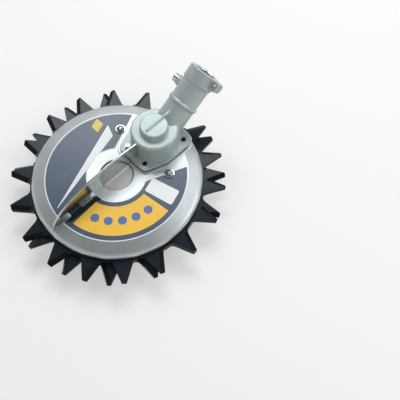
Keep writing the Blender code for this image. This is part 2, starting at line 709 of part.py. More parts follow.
def build_gasket(look):
    """The paper gasket under the flange."""
    holes = [circle(place, CASE_HOLE_RADIUS, 8) for place in flange_screws()]
    loops = [flange_outline(), circle((0, 0), CAVITY_RADIUS, 24)] + holes
    part("case_gasket", slab("case_gasket", loops, GASKET_LOW, GASKET_HIGH), look, CRANK_AXIS)


def build_cover(look):
    """The pressed cover: a flat top, a sloped and turned-down rim, and a raised pad under the gear case."""
    steps = 44
    outer = [
        (COVER_FLAT_RADIUS, COVER_TOP), (RIM_SHOULDER_RADIUS, RIM_SHOULDER_Z), (RIM_RADIUS, RIM_WALL_Z)]
    inner = [(radius - RIM_INSET, height - COVER_SHEET) for radius, height in outer]
    edge = [(RIM_RADIUS, RIM_LOW), (RIM_RADIUS - COVER_SHEET, RIM_LOW)]
    section = [(COVER_HOLE_RADIUS, COVER_TOP)] + outer + edge
    section += list(reversed(inner)) + [(COVER_HOLE_RADIUS, COVER_UNDER)]
    cover = spin(part("top_cover", profile("top_cover", section, True), look, DISC_AXIS), steps)
    pad = tool(slab("cover_pad", [flange_outline(PAD_MARGIN)], PAD_LOW, PAD_TOP), CRANK_AXIS)
    reach = tool(rod("pad_reach", RIM_RADIUS - GAP, 0, PAD_TOP + OVERRUN, steps), DISC_AXIS)
    combine(pad, "INTERSECT", [reach])
    sunk = GAP + 0.1 * MM
    cut(pad, tool(rod("pad_relief", COVER_FLAT_RADIUS - sunk, 0, COVER_UNDER + sunk, steps), DISC_AXIS))
    join(cover, pad)
    opening = tool(rod("cover_opening", CAVITY_RADIUS, 0, PAD_TOP + OVERRUN, 24), CRANK_AXIS)
    hole = rod("cover_hole", COVER_SCREW_RADIUS + 2 * GAP, 0, PAD_TOP + OVERRUN, 10)
    places = cover_screws() + from_disc(flange_screws())
    cut(cover, opening, tool(copies(hole, moves(places)), DISC_AXIS))


def build_cover_screws(look):
    """Two pan-head screws through the cover."""
    shank = [(COVER_SCREW_RADIUS, 0), (COVER_SCREW_RADIUS, -COVER_SCREW_LENGTH), (0, -COVER_SCREW_LENGTH)]
    mesh = evaluated(spin(tool(profile("cover_screw", PAN_HEAD + shank)), 12))
    for i, (x, y) in enumerate(cover_screws()):
        part("cover_screw_%d" % (i + 1), mesh.copy(), look, DISC_AXIS + Vector((x, y, COVER_TOP + GAP)))


def build_base(look):
    """The cast base plate: the blades' hub, the lower crank bearing's seat and the screw posts."""
    section = [
        (0, BASE_HIGH), (BASE_RADIUS - BASE_CHAMFER, BASE_HIGH), (BASE_RADIUS, BASE_HIGH - BASE_CHAMFER),
        (BASE_RADIUS, BASE_LOW), (HUB_RADIUS, BASE_LOW), (HUB_RADIUS, HUB_LOW), (0, HUB_LOW)]
    base = spin(part("base_plate", profile("base_plate", section), look, DISC_AXIS), 36)
    post_top = COVER_UNDER - GAP
    spots = moves(cover_screws() + from_disc(flange_screws()[:2]))
    post = rod("screw_post", POST_RADIUS, BASE_HIGH - BASE_CHAMFER, post_top, 10)
    join(base, tool(copies(post, spots), DISC_AXIS))
    wide = LOWER_BEARING_RADIUS + GAP
    narrow = CRANK_COLLAR_RADIUS + GAP
    shelf = BASE_LOW + LOWER_SEAT_SHELF
    seat_line = [
        (0, BASE_HIGH + OVERRUN), (wide, BASE_HIGH + OVERRUN), (wide, shelf), (narrow, shelf),
        (narrow, BASE_LOW - OVERRUN), (0, BASE_LOW - OVERRUN)]
    seat = spin(tool(profile("bearing_seat", seat_line), CRANK_AXIS), 20)
    thread = rod("post_thread", COVER_SCREW_RADIUS + GAP, BASE_LOW + BASE_CHAMFER, post_top + OVERRUN, 8)
    bolt_hole = rod("hub_thread", HUB_BOLT_RADIUS + GAP, HUB_LOW - OVERRUN, HUB_BOLT_TOP + BASE_CHAMFER, 8)
    around = moves([polar(HUB_BOLT_CIRCLE, angle) for angle in hub_bolt_angles()])
    cut(base, seat, tool(copies(thread, spots), DISC_AXIS), tool(copies(bolt_hole, around), DISC_AXIS))


def build_hub_stack(steel, dark):
    """Wear rings, the retainer that holds the blades up, and the shoulder bolts that carry the plate."""
    inner = HUB_RADIUS + GAP
    outer = WEAR_RING_RADIUS
    ring("upper_wear_ring", inner, outer, UPPER_RING_LOW, UPPER_RING_HIGH, steel, DISC_AXIS, steps=24)
    ring("lower_wear_ring", inner, outer, LOWER_RING_LOW, LOWER_RING_HIGH, steel, DISC_AXIS, steps=24)
    around = [polar(HUB_BOLT_CIRCLE, angle) for angle in hub_bolt_angles()]
    holes = [circle(place, HUB_BOLT_RADIUS + GAP, 8) for place in around]
    loops = [circle((0, 0), RETAINER_RADIUS, 30), circle((0, 0), RETAINER_HOLE_RADIUS, 18)] + holes
    retainer = slab("blade_retainer", loops, PLATE_FLANGE_HIGH + GAP, RETAINER_HIGH)
    part("blade_retainer", retainer, steel, DISC_AXIS)
    seat = PLATE_FLANGE_LOW - GAP
    sizes = (HUB_BOLT_HEAD_RADIUS, HUB_BOLT_HEAD_HEIGHT, HUB_BOLT_RADIUS, HUB_BOLT_TOP - seat)
    bolt = screw("hub_bolt", sizes, 10)
    for i, (x, y) in enumerate(around):
        part("hub_bolt_%d" % (i + 1), bolt.copy(), dark, DISC_AXIS + Vector((x, y, seat)), (math.pi, 0, 0))


def build_crank(steel, gear_look, bronze):
    """The crankshaft with its two opposed eccentrics, its gear, rollers and bearings."""
    top = CAP_Z - ROOF - CRANK_HEADROOM
    shoulder = TOP_BEARING_LOW - CRANK_HEADROOM
    collar_low = BASE_HIGH + GAP
    collar_high = BASE_HIGH + CRANK_COLLAR_HEIGHT
    foot = BASE_LOW - 0.4 * MM
    line = [
        (0, top), (CRANK_END_RADIUS, top), (CRANK_END_RADIUS, shoulder), (GEAR_SEAT_RADIUS, shoulder),
        (GEAR_SEAT_RADIUS, GEAR_SEAT_LOW), (CRANK_SHAFT_RADIUS, GEAR_SEAT_LOW),
        (CRANK_SHAFT_RADIUS, collar_high), (CRANK_COLLAR_RADIUS, collar_high),
        (CRANK_COLLAR_RADIUS, collar_low), (CRANK_JOURNAL_RADIUS, collar_low),
        (CRANK_JOURNAL_RADIUS, foot), (0, foot)]
    shaft = spin(part("crankshaft", profile("crankshaft", line), steel, CRANK_AXIS), 18)
    change = UPPER_BLADE_LOW
    upper = rod("upper_eccentric", ECCENTRIC_RADIUS, change - ECCENTRIC_JOIN, BASE_LOW, 20, (0, ECCENTRICITY))
    lower = rod("lower_eccentric", ECCENTRIC_RADIUS, LOWER_BLADE_LOW, change, 20, (0, -ECCENTRICITY))
    join(shaft, tool(upper, CRANK_AXIS), tool(lower, CRANK_AXIS))
    inside = ECCENTRIC_RADIUS + GAP
    upper_low = change + GAP
    lower_high = change - ECCENTRIC_JOIN - GAP
    offset = Vector((0, ECCENTRICITY, 0))
    rollers = [
        ring("upper_roller", inside, ROLLER_RADIUS, upper_low, upper_low + ROLLER_HEIGHT, bronze, offset),
        ring("lower_roller", inside, ROLLER_RADIUS, lower_high - ROLLER_HEIGHT, lower_high, bronze, -offset)]
    for roller in rollers:
        roller.parent = shaft
    phase = math.pi / 2 + math.pi / GEAR_TEETH
    bevel_gear("crank_gear", GEAR_TEETH, GEAR_CONE, phase, GEAR_SEAT_RADIUS + GAP, GEAR_BACK, gear_look)
    inner = CRANK_END_RADIUS + GAP
    high = TOP_BEARING_LOW + TOP_BEARING_WIDTH
    bearing("crank_top_bearing", inner, NECK_BEARING_RADIUS, TOP_BEARING_LOW, high, steel, CRANK_AXIS)
    inner = CRANK_JOURNAL_RADIUS + GAP
    low = BASE_LOW + LOWER_SEAT_SHELF + GAP
    bearing("crank_lower_bearing", inner, LOWER_BEARING_RADIUS, low, BASE_HIGH, steel, CRANK_AXIS)


def build_input(steel, gear_look):
    """The input shaft in the neck, with its pinion, two bearings and the circlip that holds them."""
    line = [
        (0, INPUT_END), (INPUT_RADIUS - INPUT_CHAMFER, INPUT_END), (INPUT_RADIUS, INPUT_END - INPUT_CHAMFER),
        (INPUT_RADIUS, INPUT_START), (0, INPUT_START)]
    shaft = spin(part("input_shaft", profile("input_shaft", line), steel, APEX, PIPE_TURN), 18)
    wide = INPUT_RADIUS + OVERRUN
    flat = box("drive_flat", (DRIVE_FLAT, -wide, DRIVE_START), (wide, wide, INPUT_END + OVERRUN))
    turns = [Matrix.Rotation(i * math.pi / 2, 4, "Z") for i in range(4)]
    cut(shaft, tool(copies(flat, turns), APEX, PIPE_TURN))
    inner = INPUT_RADIUS + GAP
    phase = -math.pi / 2
    bevel_gear("bevel_pinion", PINION_TEETH, PINION_CONE, phase, inner, PINION_BACK, gear_look, PIPE_TURN)
    place = INPUT_BEARING_START
    for name in ("input_front_bearing", "input_rear_bearing"):
        end = place + INPUT_BEARING_WIDTH
        bearing(name, inner, NECK_BEARING_RADIUS, place, end, steel, APEX, PIPE_TURN)
        place = end + GAP
    clip_end = place + CIRCLIP_WIDTH
    ring("bearing_circlip", CIRCLIP_RADIUS, NECK_BEARING_RADIUS, place, clip_end, steel, APEX, PIPE_TURN)


def keyhole_outline():
    """A curved slot along the bolt circle, with round ends, about the X axis."""
    half = KEYHOLE_HALF_ANGLE
    outer = arc((0, 0), HUB_BOLT_CIRCLE + KEYHOLE_HALF_WIDTH, -half, half, 3)
    far = arc(polar(HUB_BOLT_CIRCLE, half), KEYHOLE_HALF_WIDTH, half, half + math.pi, 5)
    inner = arc((0, 0), HUB_BOLT_CIRCLE - KEYHOLE_HALF_WIDTH, half, -half, 3)
    near = arc(polar(HUB_BOLT_CIRCLE, -half), KEYHOLE_HALF_WIDTH, math.pi - half, 2 * math.pi - half, 5)
    return outer + far[1:-1] + inner + near[1:-1]


def build_ground_plate(look):
    """The moulded plate: a keyholed flange, a glide ring, a sloped wall and a lobed rim."""
    lip = PLATE_RIM_LOW - PLATE_LIP
    lip_inner = PLATE_RIM_RADIUS - PLATE_LIP_WIDTH
    lean = WALL_LEAN
    section = [
        (PLATE_HOLE_RADIUS, PLATE_FLANGE_HIGH), (PLATE_FLANGE_RADIUS, PLATE_FLANGE_HIGH),
        (GLIDE_INNER + lean, PLATE_WALL), (GLIDE_OUTER - lean, PLATE_WALL),
        (PLATE_SLOPE_RADIUS - lean, PLATE_RIM_HIGH), (PLATE_RIM_RADIUS, PLATE_RIM_HIGH),
        (PLATE_RIM_RADIUS, lip), (lip_inner, lip), (lip_inner, PLATE_RIM_LOW),
        (PLATE_SLOPE_RADIUS, PLATE_RIM_LOW), (GLIDE_OUTER, 0), (GLIDE_INNER, 0),
        (PLATE_FLANGE_RADIUS - lean, PLATE_FLANGE_LOW), (PLATE_HOLE_RADIUS, PLATE_FLANGE_LOW)]
    plate = spin(part("ground_plate", profile("ground_plate", section, True), look, DISC_AXIS), 36)
    angles = [math.pi / 2 + math.pi * (2 * i + 1) / LOBE_COUNT for i in range(LOBE_COUNT)]
    lobe = rod("plate_lobe", LOBE_RADIUS, lip, PLATE_RIM_HIGH, 14)
    join(plate, tool(copies(lobe, moves([polar(LOBE_CIRCLE, angle) for angle in angles])), DISC_AXIS))
    low = PLATE_FLANGE_LOW - OVERRUN
    high = PLATE_FLANGE_HIGH + OVERRUN
    slot = slab("keyhole_slot", [keyhole_outline()], low, high)
    eye = rod("keyhole_eye", KEYHOLE_EYE_RADIUS, low, high, 12, (HUB_BOLT_CIRCLE, 0))
    turns = [Matrix.Rotation(angle - KEYHOLE_HALF_ANGLE, 4, "Z") for angle in hub_bolt_angles()]
    cut(plate, tool(copies(slot, turns), DISC_AXIS), tool(copies(eye, turns), DISC_AXIS))


def fin_top():
    """Points of the fin's top edge, from its root to its nose."""
    points = []
    steps = 10
    for i in range(steps + 1):
        turn = FIN_BACK_TURN + (FIN_NOSE_TURN - FIN_BACK_TURN) * i / steps
        height = FIN_RISE * (1 - abs(math.sin(turn)) ** FIN_POWER) ** (1 / FIN_POWER)
        points.append((FIN_MIDDLE - FIN_REACH * math.sin(turn), BLADE_PLANE + height))
    return points


def build_fin(look):
    """The polished fin: a thin upright plate with two tabs bent along the cover."""
    top = fin_top()
    step = CRANK_OFFSET + FLANGE_NOSE[1] - FLANGE_NOSE[2] - GAP
    pad_front = step - PAD_MARGIN
    root = CRANK_OFFSET - DRUM_FOOT_RADIUS - GAP
    under = [
        (-RIM_SHOULDER_RADIUS, RIM_SHOULDER_Z + GAP), (-COVER_FLAT_RADIUS, COVER_TOP + GAP),
        (pad_front, COVER_TOP + GAP), (pad_front, PAD_TOP + GAP), (step, PAD_TOP + GAP),
        (step, FLANGE_HIGH + GAP), (root, FLANGE_HIGH + GAP)]
    half = FIN_THICKNESS / 2
    fin = part("deflector_fin", slab("deflector_fin", [top + under], -half, half), look)
    fin.matrix_world = side_view(DISC_AXIS)
    wide, length, thick = FIN_TAB_SIZE
    low = COVER_TOP + GAP
    for place in FIN_TABS:
        join(fin, tool(box("fin_tab", (0, place - length, low), (wide, place, low + thick)), DISC_AXIS))


def build_all():
    """Build every piece with its own finish."""
    clear_scene()
    cast = finish("cast_grey", (0.50, 0.53, 0.52), 0.55, 0.45)
    silver = finish("brushed_silver", (0.55, 0.58, 0.57), 0.9, 0.35)
    alloy = finish("hub_alloy", (0.58, 0.54, 0.52), 0.85, 0.45)
    polished = finish("polished_steel", (0.62, 0.63, 0.62), 1.0, 0.12)
    zinc = finish("zinc_steel", (0.66, 0.68, 0.68), 1.0, 0.3)
    steel = finish("bearing_steel", (0.45, 0.46, 0.47), 1.0, 0.3)
    dark_steel = finish("dark_steel", (0.03, 0.03, 0.035), 0.8, 0.4)
    gear_steel = finish("gear_steel", (0.2, 0.2, 0.21), 1.0, 0.35)
    bronze = finish("bronze", (0.45, 0.28, 0.12), 1.0, 0.35)
    black = finish("black_blade", (0.012, 0.014, 0.018), 0.3, 0.3)
    paper = finish("gasket_paper", (0.12, 0.11, 0.1), 0.0, 0.9)
    plastic = finish("black_plastic", (0.008, 0.008, 0.01), 0.0, 0.2)
    build_gear_case(cast)
    build_pipe_fasteners(zinc)
    build_gasket(paper)
    build_case_screws(dark_steel, zinc)
    build_cover(silver)
    build_cover_screws(zinc)
    build_base(alloy)
    build_hub_stack(steel, dark_steel)
    build_crank(steel, gear_steel, bronze)
    build_input(steel, gear_steel)
    build_blade("upper_blade", UPPER_TEETH, UPPER_BLADE_LOW, 1, 0, black)
    build_blade("lower_blade", LOWER_TEETH, LOWER_BLADE_LOW, -1, LOWER_LAND, black)
    build_ground_plate(plastic)
    build_fin(polished)
    shading = smooth_by_angle()
    for item in bpy.data.collections["weeding_head"].objects:
        item.modifiers.new("smooth", "NODES").node_group = shading


build_all()
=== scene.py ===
"""The weeding head as it looks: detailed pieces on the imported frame, finishes, studio and camera."""

import json
import math

import bmesh
import bpy
from mathutils import Matrix
from mathutils import Vector


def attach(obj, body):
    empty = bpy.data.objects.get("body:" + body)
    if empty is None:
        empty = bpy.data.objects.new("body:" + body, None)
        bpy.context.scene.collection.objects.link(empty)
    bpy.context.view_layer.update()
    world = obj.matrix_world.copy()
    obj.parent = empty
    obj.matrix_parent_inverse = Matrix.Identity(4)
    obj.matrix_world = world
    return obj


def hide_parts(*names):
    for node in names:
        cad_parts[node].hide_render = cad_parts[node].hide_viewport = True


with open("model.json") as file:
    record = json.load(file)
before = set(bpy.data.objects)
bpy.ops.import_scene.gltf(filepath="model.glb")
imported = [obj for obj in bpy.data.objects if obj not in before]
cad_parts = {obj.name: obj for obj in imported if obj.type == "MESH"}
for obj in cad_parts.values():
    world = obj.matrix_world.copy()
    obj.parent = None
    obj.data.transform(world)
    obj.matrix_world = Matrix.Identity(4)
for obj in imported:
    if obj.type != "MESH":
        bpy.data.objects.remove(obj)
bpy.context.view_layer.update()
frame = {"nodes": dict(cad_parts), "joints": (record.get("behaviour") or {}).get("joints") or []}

MM = 0.001

# The axes that the pieces are built on
JOINTS = {joint["name"]: joint for joint in frame["joints"]}
DISC_Y = JOINTS["upper_blade_swing"]["pos_m"][1]
DISC = Matrix.Translation((0, DISC_Y, 0))
APEX = Vector(JOINTS["input_spin"]["pos_m"])
CRANK = Matrix.Translation((0, APEX.y, 0))
CRANK_OFFSET = APEX.y - DISC_Y
OVER_CRANK = Matrix.Translation((0, CRANK_OFFSET, 0))
PIPE_AXIS = Vector(JOINTS["input_spin"]["axis"])
PIPE_LEAN = math.atan2(PIPE_AXIS.z, PIPE_AXIS.y) - math.pi / 2
PIPE = Matrix.Translation(APEX) @ Matrix.Rotation(PIPE_LEAN, 4, "X")

# Stands a flat outline up in the plane of symmetry: its X to world Y, its Y to world Z
SIDE_VIEW = Matrix(((0, 0, 1, 0), (1, 0, 0, 0), (0, 1, 0, 0), (0, 0, 0, 1)))

# Distances that several pieces share
GAP = 0.3 * MM
OVERRUN = 5 * MM
FAR = 80 * MM
TALL = 100 * MM

# Limits in the mesh code
SHARP = math.radians(32)
STRAIGHT = math.radians(176)
CORNER_SHARE = 0.48
LEAST_MITRE = 0.4
ON_AXIS = 1e-7
LEVEL = 0.9999

# Blades: teeth, lowest level, side that is ground and width of the ground land
BLADES = {
    "upper_blade": (18, 24.2 * MM, 1, 0),
    "lower_blade": (15, 19.8 * MM, -1, 1.1 * MM)}
TIP_RADIUS = 115 * MM
TIP_HALF_WIDTH = 2.4 * MM
TIP_ROUND = 0.9 * MM
FLANK_ANGLE = math.radians(20)
ROOT_RADIUS = 93 * MM
ROOT_FILLET_RADIUS = 95.5 * MM
ROOT_FILLET_SPREAD = 1.2 * MM
ROOT_SHARE = 0.94
ROOT_ROUND = 3.2 * MM
TOOTH_PHASE = math.radians(1.4)
BLADE_THICKNESS = 4 * MM
BLADE_BORE_RADIUS = 31.4 * MM
BLADE_EDGE = 0.25 * MM
# The second look of a blade is painted shade on its steep faces
BLADE_LOOKS = ["black_blade", "shaded_black_edge", "ground_steel"]
GRIND_RUN = 4.6 * MM
GRIND_EDGE = 0.6 * MM
LAND_NORMAL = 0.99
LAND_MARGIN = 0.1 * MM
STEEP_NORMAL = 0.9
WINDOW_RADIUS = 13.5 * MM
WINDOW_HALF = 4 * MM

# Cover, its raised pad and the hub in its hole; outlines in millimetres
COVER_TOP = 40 * MM
COVER_FLAT_RADIUS = 75.5 * MM
COVER_SECTION = [
    (18, 40), (75.5, 40), (86.8, 36.4), (89.4, 34.7), (90.5, 32.4), (90.5, 29.6), (89, 29.6),
    (89, 33.4), (75.3, 38.5), (18, 38.5)]
COVER_BENDS = [bend * MM for bend in (0.4, 3, 4, 4, 4, 0.4, 0.4, 2, 2, 0.3)]
COVER_STEPS = 160
# The second look is painted shade on the cover's sloped rim
COVER_LOOKS = ["brushed_silver", "shaded_rim_silver"]
RIM_RADIUS = 90.5 * MM
PAD_TOP = 41 * MM
PAD_LOW = 31 * MM
PAD_MARGIN = 2.6 * MM
PAD_EDGE = 0.7 * MM
PAD_SUNK = 0.5 * MM
CAVITY_RADIUS = 21 * MM
HUB_FACE = [(0, 38.4), (17.2, 38.4), (17.2, 35), (0, 35)]
HUB_FACE_BENDS = [0, 0.5 * MM, 0, 0]

# Print on the cover, about the blade axis; outlines in millimetres, panel and dots in degrees
LABEL_INNER = 31 * MM
LABEL_OUTER = 75.2 * MM
LABEL_BORDER = 1 * MM
LABEL_TOPS = (math.radians(53.3), math.radians(55.6))
LABEL_FEET = (math.radians(32.4), math.radians(39.4))
LABEL_LOW = COVER_TOP - 0.05 * MM
LABEL_HIGH = COVER_TOP + 0.08 * MM
PRINT_STEP = 0.04 * MM
WEDGE = [(-52, 33.7), (-13.9, -69.0), (-13.2, -68.8), (-37.8, 28.4)]
SQUARE = [(-66.3, 30.2), (-62.5, 19.7), (-52.3, 19.4), (-56.4, 31)]
PRINT_CORNER = 0.6 * MM
SQUARE_CORNER = 0.8 * MM
WHITE_WINDOW = [(34.4, 8.4), (66, 16.6), (60.5, 33.7), (29.6, 24.5)]
WHITE_WINDOW_CORNER = 2.2 * MM
BLACK_BAND = [(1.6, -74), (1.6, -31.4), (10.5, -29.8), (9, -35.9), (8, -68), (3.1, -74.2)]
PANEL_OUTER = 69 * MM
PANEL_INNER = 36.8 * MM
PANEL_TURNS = (-81, 8.5)
PANEL_SLANT = 5
DOT_COUNT = 5
DOT_RADIUS = 4.6 * MM
DOT_CIRCLE = 53 * MM
DOT_START = -66
DOT_TURN = 15.5

# Fin
FIN_THICKNESS = 2 * MM
FIN_NOSE = (88.6 * MM, 35.8 * MM)
FIN_MIDDLE = -5 * MM
FIN_REACH = 84 * MM
FIN_FOOT_Z = 24 * MM
FIN_RISE = 45.7 * MM
FIN_POWER = 2.4
FIN_TURNS = (math.radians(-25.4), math.radians(75.6))
FIN_STEPS = 40
FIN_EDGE = 0.85 * MM
FIN_TABS = (-31 * MM, -64 * MM)
FIN_TAB_SIZE = (4 * MM, 19 * MM, 1.4 * MM)
FIN_TAB_START = 0.4 * MM
FIN_TAB_BENDS = [0, 2 * MM, 2 * MM, 0]
FIN_TAB_EDGE = 0.35 * MM

# Gear case about the crank's axis; outlines and places in millimetres, corners with their radius
FLANGE_LOW = 42.3 * MM
FLANGE_HIGH = 45 * MM
FLANGE_CORNERS = [(14.8, -28.4, 6.8), (24, -8.5, 5.2), (23, 18.5, 6.5), (18.5, 23, 6.5)]
FLANGE_FRONT = -35.2 * MM
FLANGE_SCREWS = {
    "case_screw_1": (13.2, -28), "fin_bolt": (-13.2, -28), "case_screw_2": (20.8, 21.1),
    "case_screw_3": (-20.8, 21.1)}
FLANGE_HOLE_TOP = 50 * MM
DRUM_FOOT_RADIUS = 25.8 * MM
DRUM = [(0, 74), (14.6, 74), (14.6, 67), (24.9, 67), (25.8, 42.3), (0, 42.3)]
DRUM_BENDS = [0, 1.2 * MM, 1 * MM, 2 * MM, 0, 0]
LEDGE_Z = 67 * MM
LEDGE_WALL = 3.5 * MM
CAP_Z = 74 * MM
CAP_WALL = 3 * MM
WEB = [(-10.5, 72), (26, 62), (26, 76.5), (-10.5, 75)]
WEB_HALF = 1.1 * MM
SCREW_HOLE_RADIUS = 2.8 * MM
CASE_LOOKS = ["cast_grey", "machined_alloy"]
CAST_VOXEL = 0.42 * MM
CAST_SOFTENING = 0.5
CAST_SOFT_STEPS = 3
CAST_KEEP = 0.3

# Neck and pipe socket, along the pipe from the gears' apex; outlines in millimetres
PIPE_END = 90.8 * MM
PIPE_STOP = 54 * MM
PIPE_BORE_RADIUS = 13.2 * MM
MOUTH_CHAMFER = 1 * MM
BEARING_RADIUS = 11 * MM
BEARING_LOW = 20.5 * MM
SHAFT_HOLE_RADIUS = 10 * MM
SHAFT_HOLE_LOW = 12 * MM
NECK = [
    (0, 90.8), (16, 90.8), (16.9, 89.9), (16.9, 75.7), (15.5, 74.5), (15.5, 52.8), (17, 51.4),
    (17, 49.4), (15.5, 48), (15.5, 10), (0, 10)]
NECK_BEND = 0.8 * MM
BAND_RADIUS = 16.9 * MM
BAND_START = 74.5 * MM
BORE_MARGIN = 0.9 * MM
STOP_MARGIN = 1 * MM
FACE_MARGIN = 0.3 * MM
LOCATOR_Z = 66.2 * MM
LOCATOR_SEAT = 20.3 * MM
LOCATOR_HOLE_DEPTH = 30 * MM
BOSS = [(0, -20), (5.6, -20), (6.4, -12), (0, -12)]
EARS = [(13.5, 79.5), (24, 79.5), (24, 90.3), (13.5, 90.3)]
EAR_BENDS = [0, 2.5 * MM, 2.5 * MM, 0]
EAR_HALF = 6 * MM
CAST_EDGE = 0.5 * MM
SLIT = [(10, -0.9), (30, -0.9), (30, 0.9), (10, 0.9)]
CLAMP_PLACE = (19.4 * MM, 0, 85.6 * MM)
CLAMP_SEAT = 6.3 * MM
CLAMP_HOLE_RADIUS = 2.3 * MM
CLAMP_HOLE_HALF = 20 * MM

# Screws in millimetres: radius and height of the head, radius and length of the shank, and socket
LOCATING_SCREW = (4.6, 5, 2.5, 6.8, 4)
PINCH_SCREW = (3.7, 4, 2, 15, 3)
CASE_SCREW = (2.5, 2, 2, 7, 2.5)
SHOULDER_BOLT = (3.7, 4, 2.2, 13.3, 3)
SHOULDER = 6
CASE_SCREW_SUNK = 2.6 * MM
HEAD_EDGE_SHARE = 0.18
SOCKET_FLOOR_SHARE = 0.35
NECKED_SHARE = 0.9
KNURL_START_SHARE = 0.25
KNURL_DEPTH = 0.12 * MM
HEX_BOLT_COLLAR = [(0, 0.9), (3.6, 0.9), (3.6, 0)]
HEX_BOLT_SHANK = (2 * MM, 0, -10 * MM)
HEX_BOLT_ACROSS = 5.8 * MM
HEX_BOLT_HEAD = (0.5 * MM, 3.4 * MM)
HEX_BOLT_EDGE = 0.4 * MM
PAN_CIRCLE = 55 * MM
PAN_TURN = math.radians(44)
PAN_DOME = [(0, 2.6), (1.6, 2.5), (3, 2.1), (4, 1.4), (4.5, 0.6), (4.6, 0)]
PAN_SHANK = (2 * MM, 0, -9 * MM)
PAN_RECESS = [(-0.45, -2.2), (0.45, -2.2), (0.45, 2.2), (-0.45, 2.2)]
PAN_RECESS_FLOOR = 1.2 * MM
PAN_WASHER = [(2.2, -0.28), (5.9, -0.28), (5.9, 0.25), (2.2, 0.25)]
RING_EDGE = 0.15 * MM

# What shows down the pipe's bore; outlines in millimetres
SHAFT = [(0, 66), (4, 66), (4, 13), (0, 13)]
SHAFT_BENDS = [0, 0.8 * MM, 0, 0]
SHAFT_FLAT = [(2.9, -9), (9, -9), (9, 9), (2.9, 9)]
SHAFT_FLAT_LEVELS = (52 * MM, 70 * MM)
RACES = [
    (4.3, 39.3), (6.3, 39.3), (6.3, 38.9), (6.7, 38.6), (8.6, 38.6), (9, 38.9), (9, 39.3),
    (11, 39.3), (11, 32.3), (4.3, 32.3)]
CLIP_INNER = 9 * MM
CLIP_GAP = math.radians(14)
CLIP_CORNER = 0.3 * MM
CLIP_LEVELS = (39.6 * MM, 40.6 * MM)
CLIP_EDGE = 0.1 * MM

# Ground plate and its bolts; outlines in millimetres
BOLT_COUNT = 5
BOLT_CIRCLE = 26 * MM
BOLT_SEAT = 12.7 * MM
KEYHOLE_TURN = math.radians(17.6)
KEYHOLE_HALF = 2.6 * MM
KEYHOLE_JOIN = 3 * MM
KEYHOLE_LEVELS = (8 * MM, 20 * MM)
EYE_RADIUS = 4 * MM
EYE_FRONT = (math.radians(-41), math.radians(41))
EYE_BACK = (math.radians(131), math.radians(229))
LOBE_CIRCLE = 81 * MM
LOBE_RADIUS = 9 * MM
LOBE_BEND = 8 * MM
PLATE_EDGE = 82 * MM
PLATE_ROUND = 74 * MM
SLOPE_RUN = 1.8
PLATE_SECTION = [
    (19.5, 15.5), (36.2, 15.5), (47 + SLOPE_RUN, 2.5), (64.5 - SLOPE_RUN, 2.5),
    (72 - SLOPE_RUN, 13.1), (82, 13.1), (82, 9.6), (79.5, 9.6), (79.5, 10.6), (72, 10.6),
    (64.5, 0), (47, 0), (36.2 - SLOPE_RUN, 13), (19.5, 13)]
PLATE_BENDS = [bend * MM for bend in (
    0.5, 1.5, 1.5, 1.5, 1.5, 0.8, 0.5, 0.3, 0.5, 1.5, 1.2, 1.2, 1.5, 0.5)]
PIP = [(0, 9.9), (0.9, 10), (1.7, 10.4), (1.9, 10.9), (0, 10.9)]
MARK = [(3.9, 0.01), (4.3, 0.01), (4.3, 0.3), (3.9, 0.3)]
MARK_EDGE = 0.05 * MM
MARK_CIRCLE = 55.7 * MM

# Finishes: colour, metallic, roughness, share of light and dark, and strength of the relief
FINISHES = {
    "cast_grey": ((0.43, 0.50, 0.497), 0.35, 0.42, 0.06, 0.35),
    "brushed_silver": ((0.65, 0.695, 0.70), 0.85, 0.46, 0.03, 0.03),
    # painted shade: a darker copy of brushed_silver for the cover's sloped rim, with slightly stronger
    # brushing
    "shaded_rim_silver": ((0.55, 0.59, 0.595), 0.85, 0.44, 0.05, 0.05),
    "hub_alloy": ((0.66, 0.635, 0.63), 0.1, 0.55, 0.04, 0.06),
    "polished_steel": ((0.58, 0.63, 0.61), 1, 0.22, 0.05, 0.03),
    "zinc_steel": ((0.55, 0.58, 0.57), 1, 0.18, 0.08, 0.06),
    # painted shade: a darker copy of zinc_steel for the pan screws, standing in for their dark
    # reflections
    "screw_steel": ((0.27, 0.32, 0.30), 1, 0.26, 0.1, 0.06),
    "bearing_steel": ((0.5, 0.51, 0.52), 1, 0.25, 0.05, 0.05),
    "dark_steel": ((0.03, 0.031, 0.034), 0.6, 0.4, 0.2, 0.15),
    "gear_steel": ((0.22, 0.22, 0.23), 1, 0.32, 0.1, 0.1),
    "bronze": ((0.45, 0.28, 0.12), 1, 0.35, 0.1, 0.1),
    "black_blade": ((0.011, 0.018, 0.027), 0, 0.2, 0.15, 0.05),
    # painted shade: a darker, duller copy of black_blade for the steep faces of the teeth
    "shaded_black_edge": ((0.004, 0.006, 0.008), 0, 0.3, 0.2, 0.05),
    "gasket_paper": ((0.1, 0.1, 0.095), 0, 0.9, 0.15, 0.4),
    "black_plastic": ((0.006, 0.007, 0.009), 0, 0.07, 0.2, 0.02),
    "machined_alloy": ((0.66, 0.68, 0.68), 0.9, 0.24, 0.04, 0.08),
    "ground_steel": ((0.34, 0.35, 0.37), 0.9, 0.32, 0.12, 0.15),
    "print_slate": ((0.068, 0.098, 0.150), 0, 0.28, 0.07, 0.03),
    "print_white": ((0.90, 0.91, 0.91), 0, 0.3, 0.02, 0.03),
    "print_amber": ((0.98, 0.585, 0.06), 0, 0.3, 0.04, 0.03),
    "print_yellow": ((0.72, 0.56, 0.06), 0, 0.3, 0.05, 0.03),
    "print_blue": ((0.10, 0.17, 0.42), 0, 0.3, 0.08, 0.03),
    "print_black": ((0.012, 0.013, 0.016), 0, 0.25, 0.15, 0.03),
}
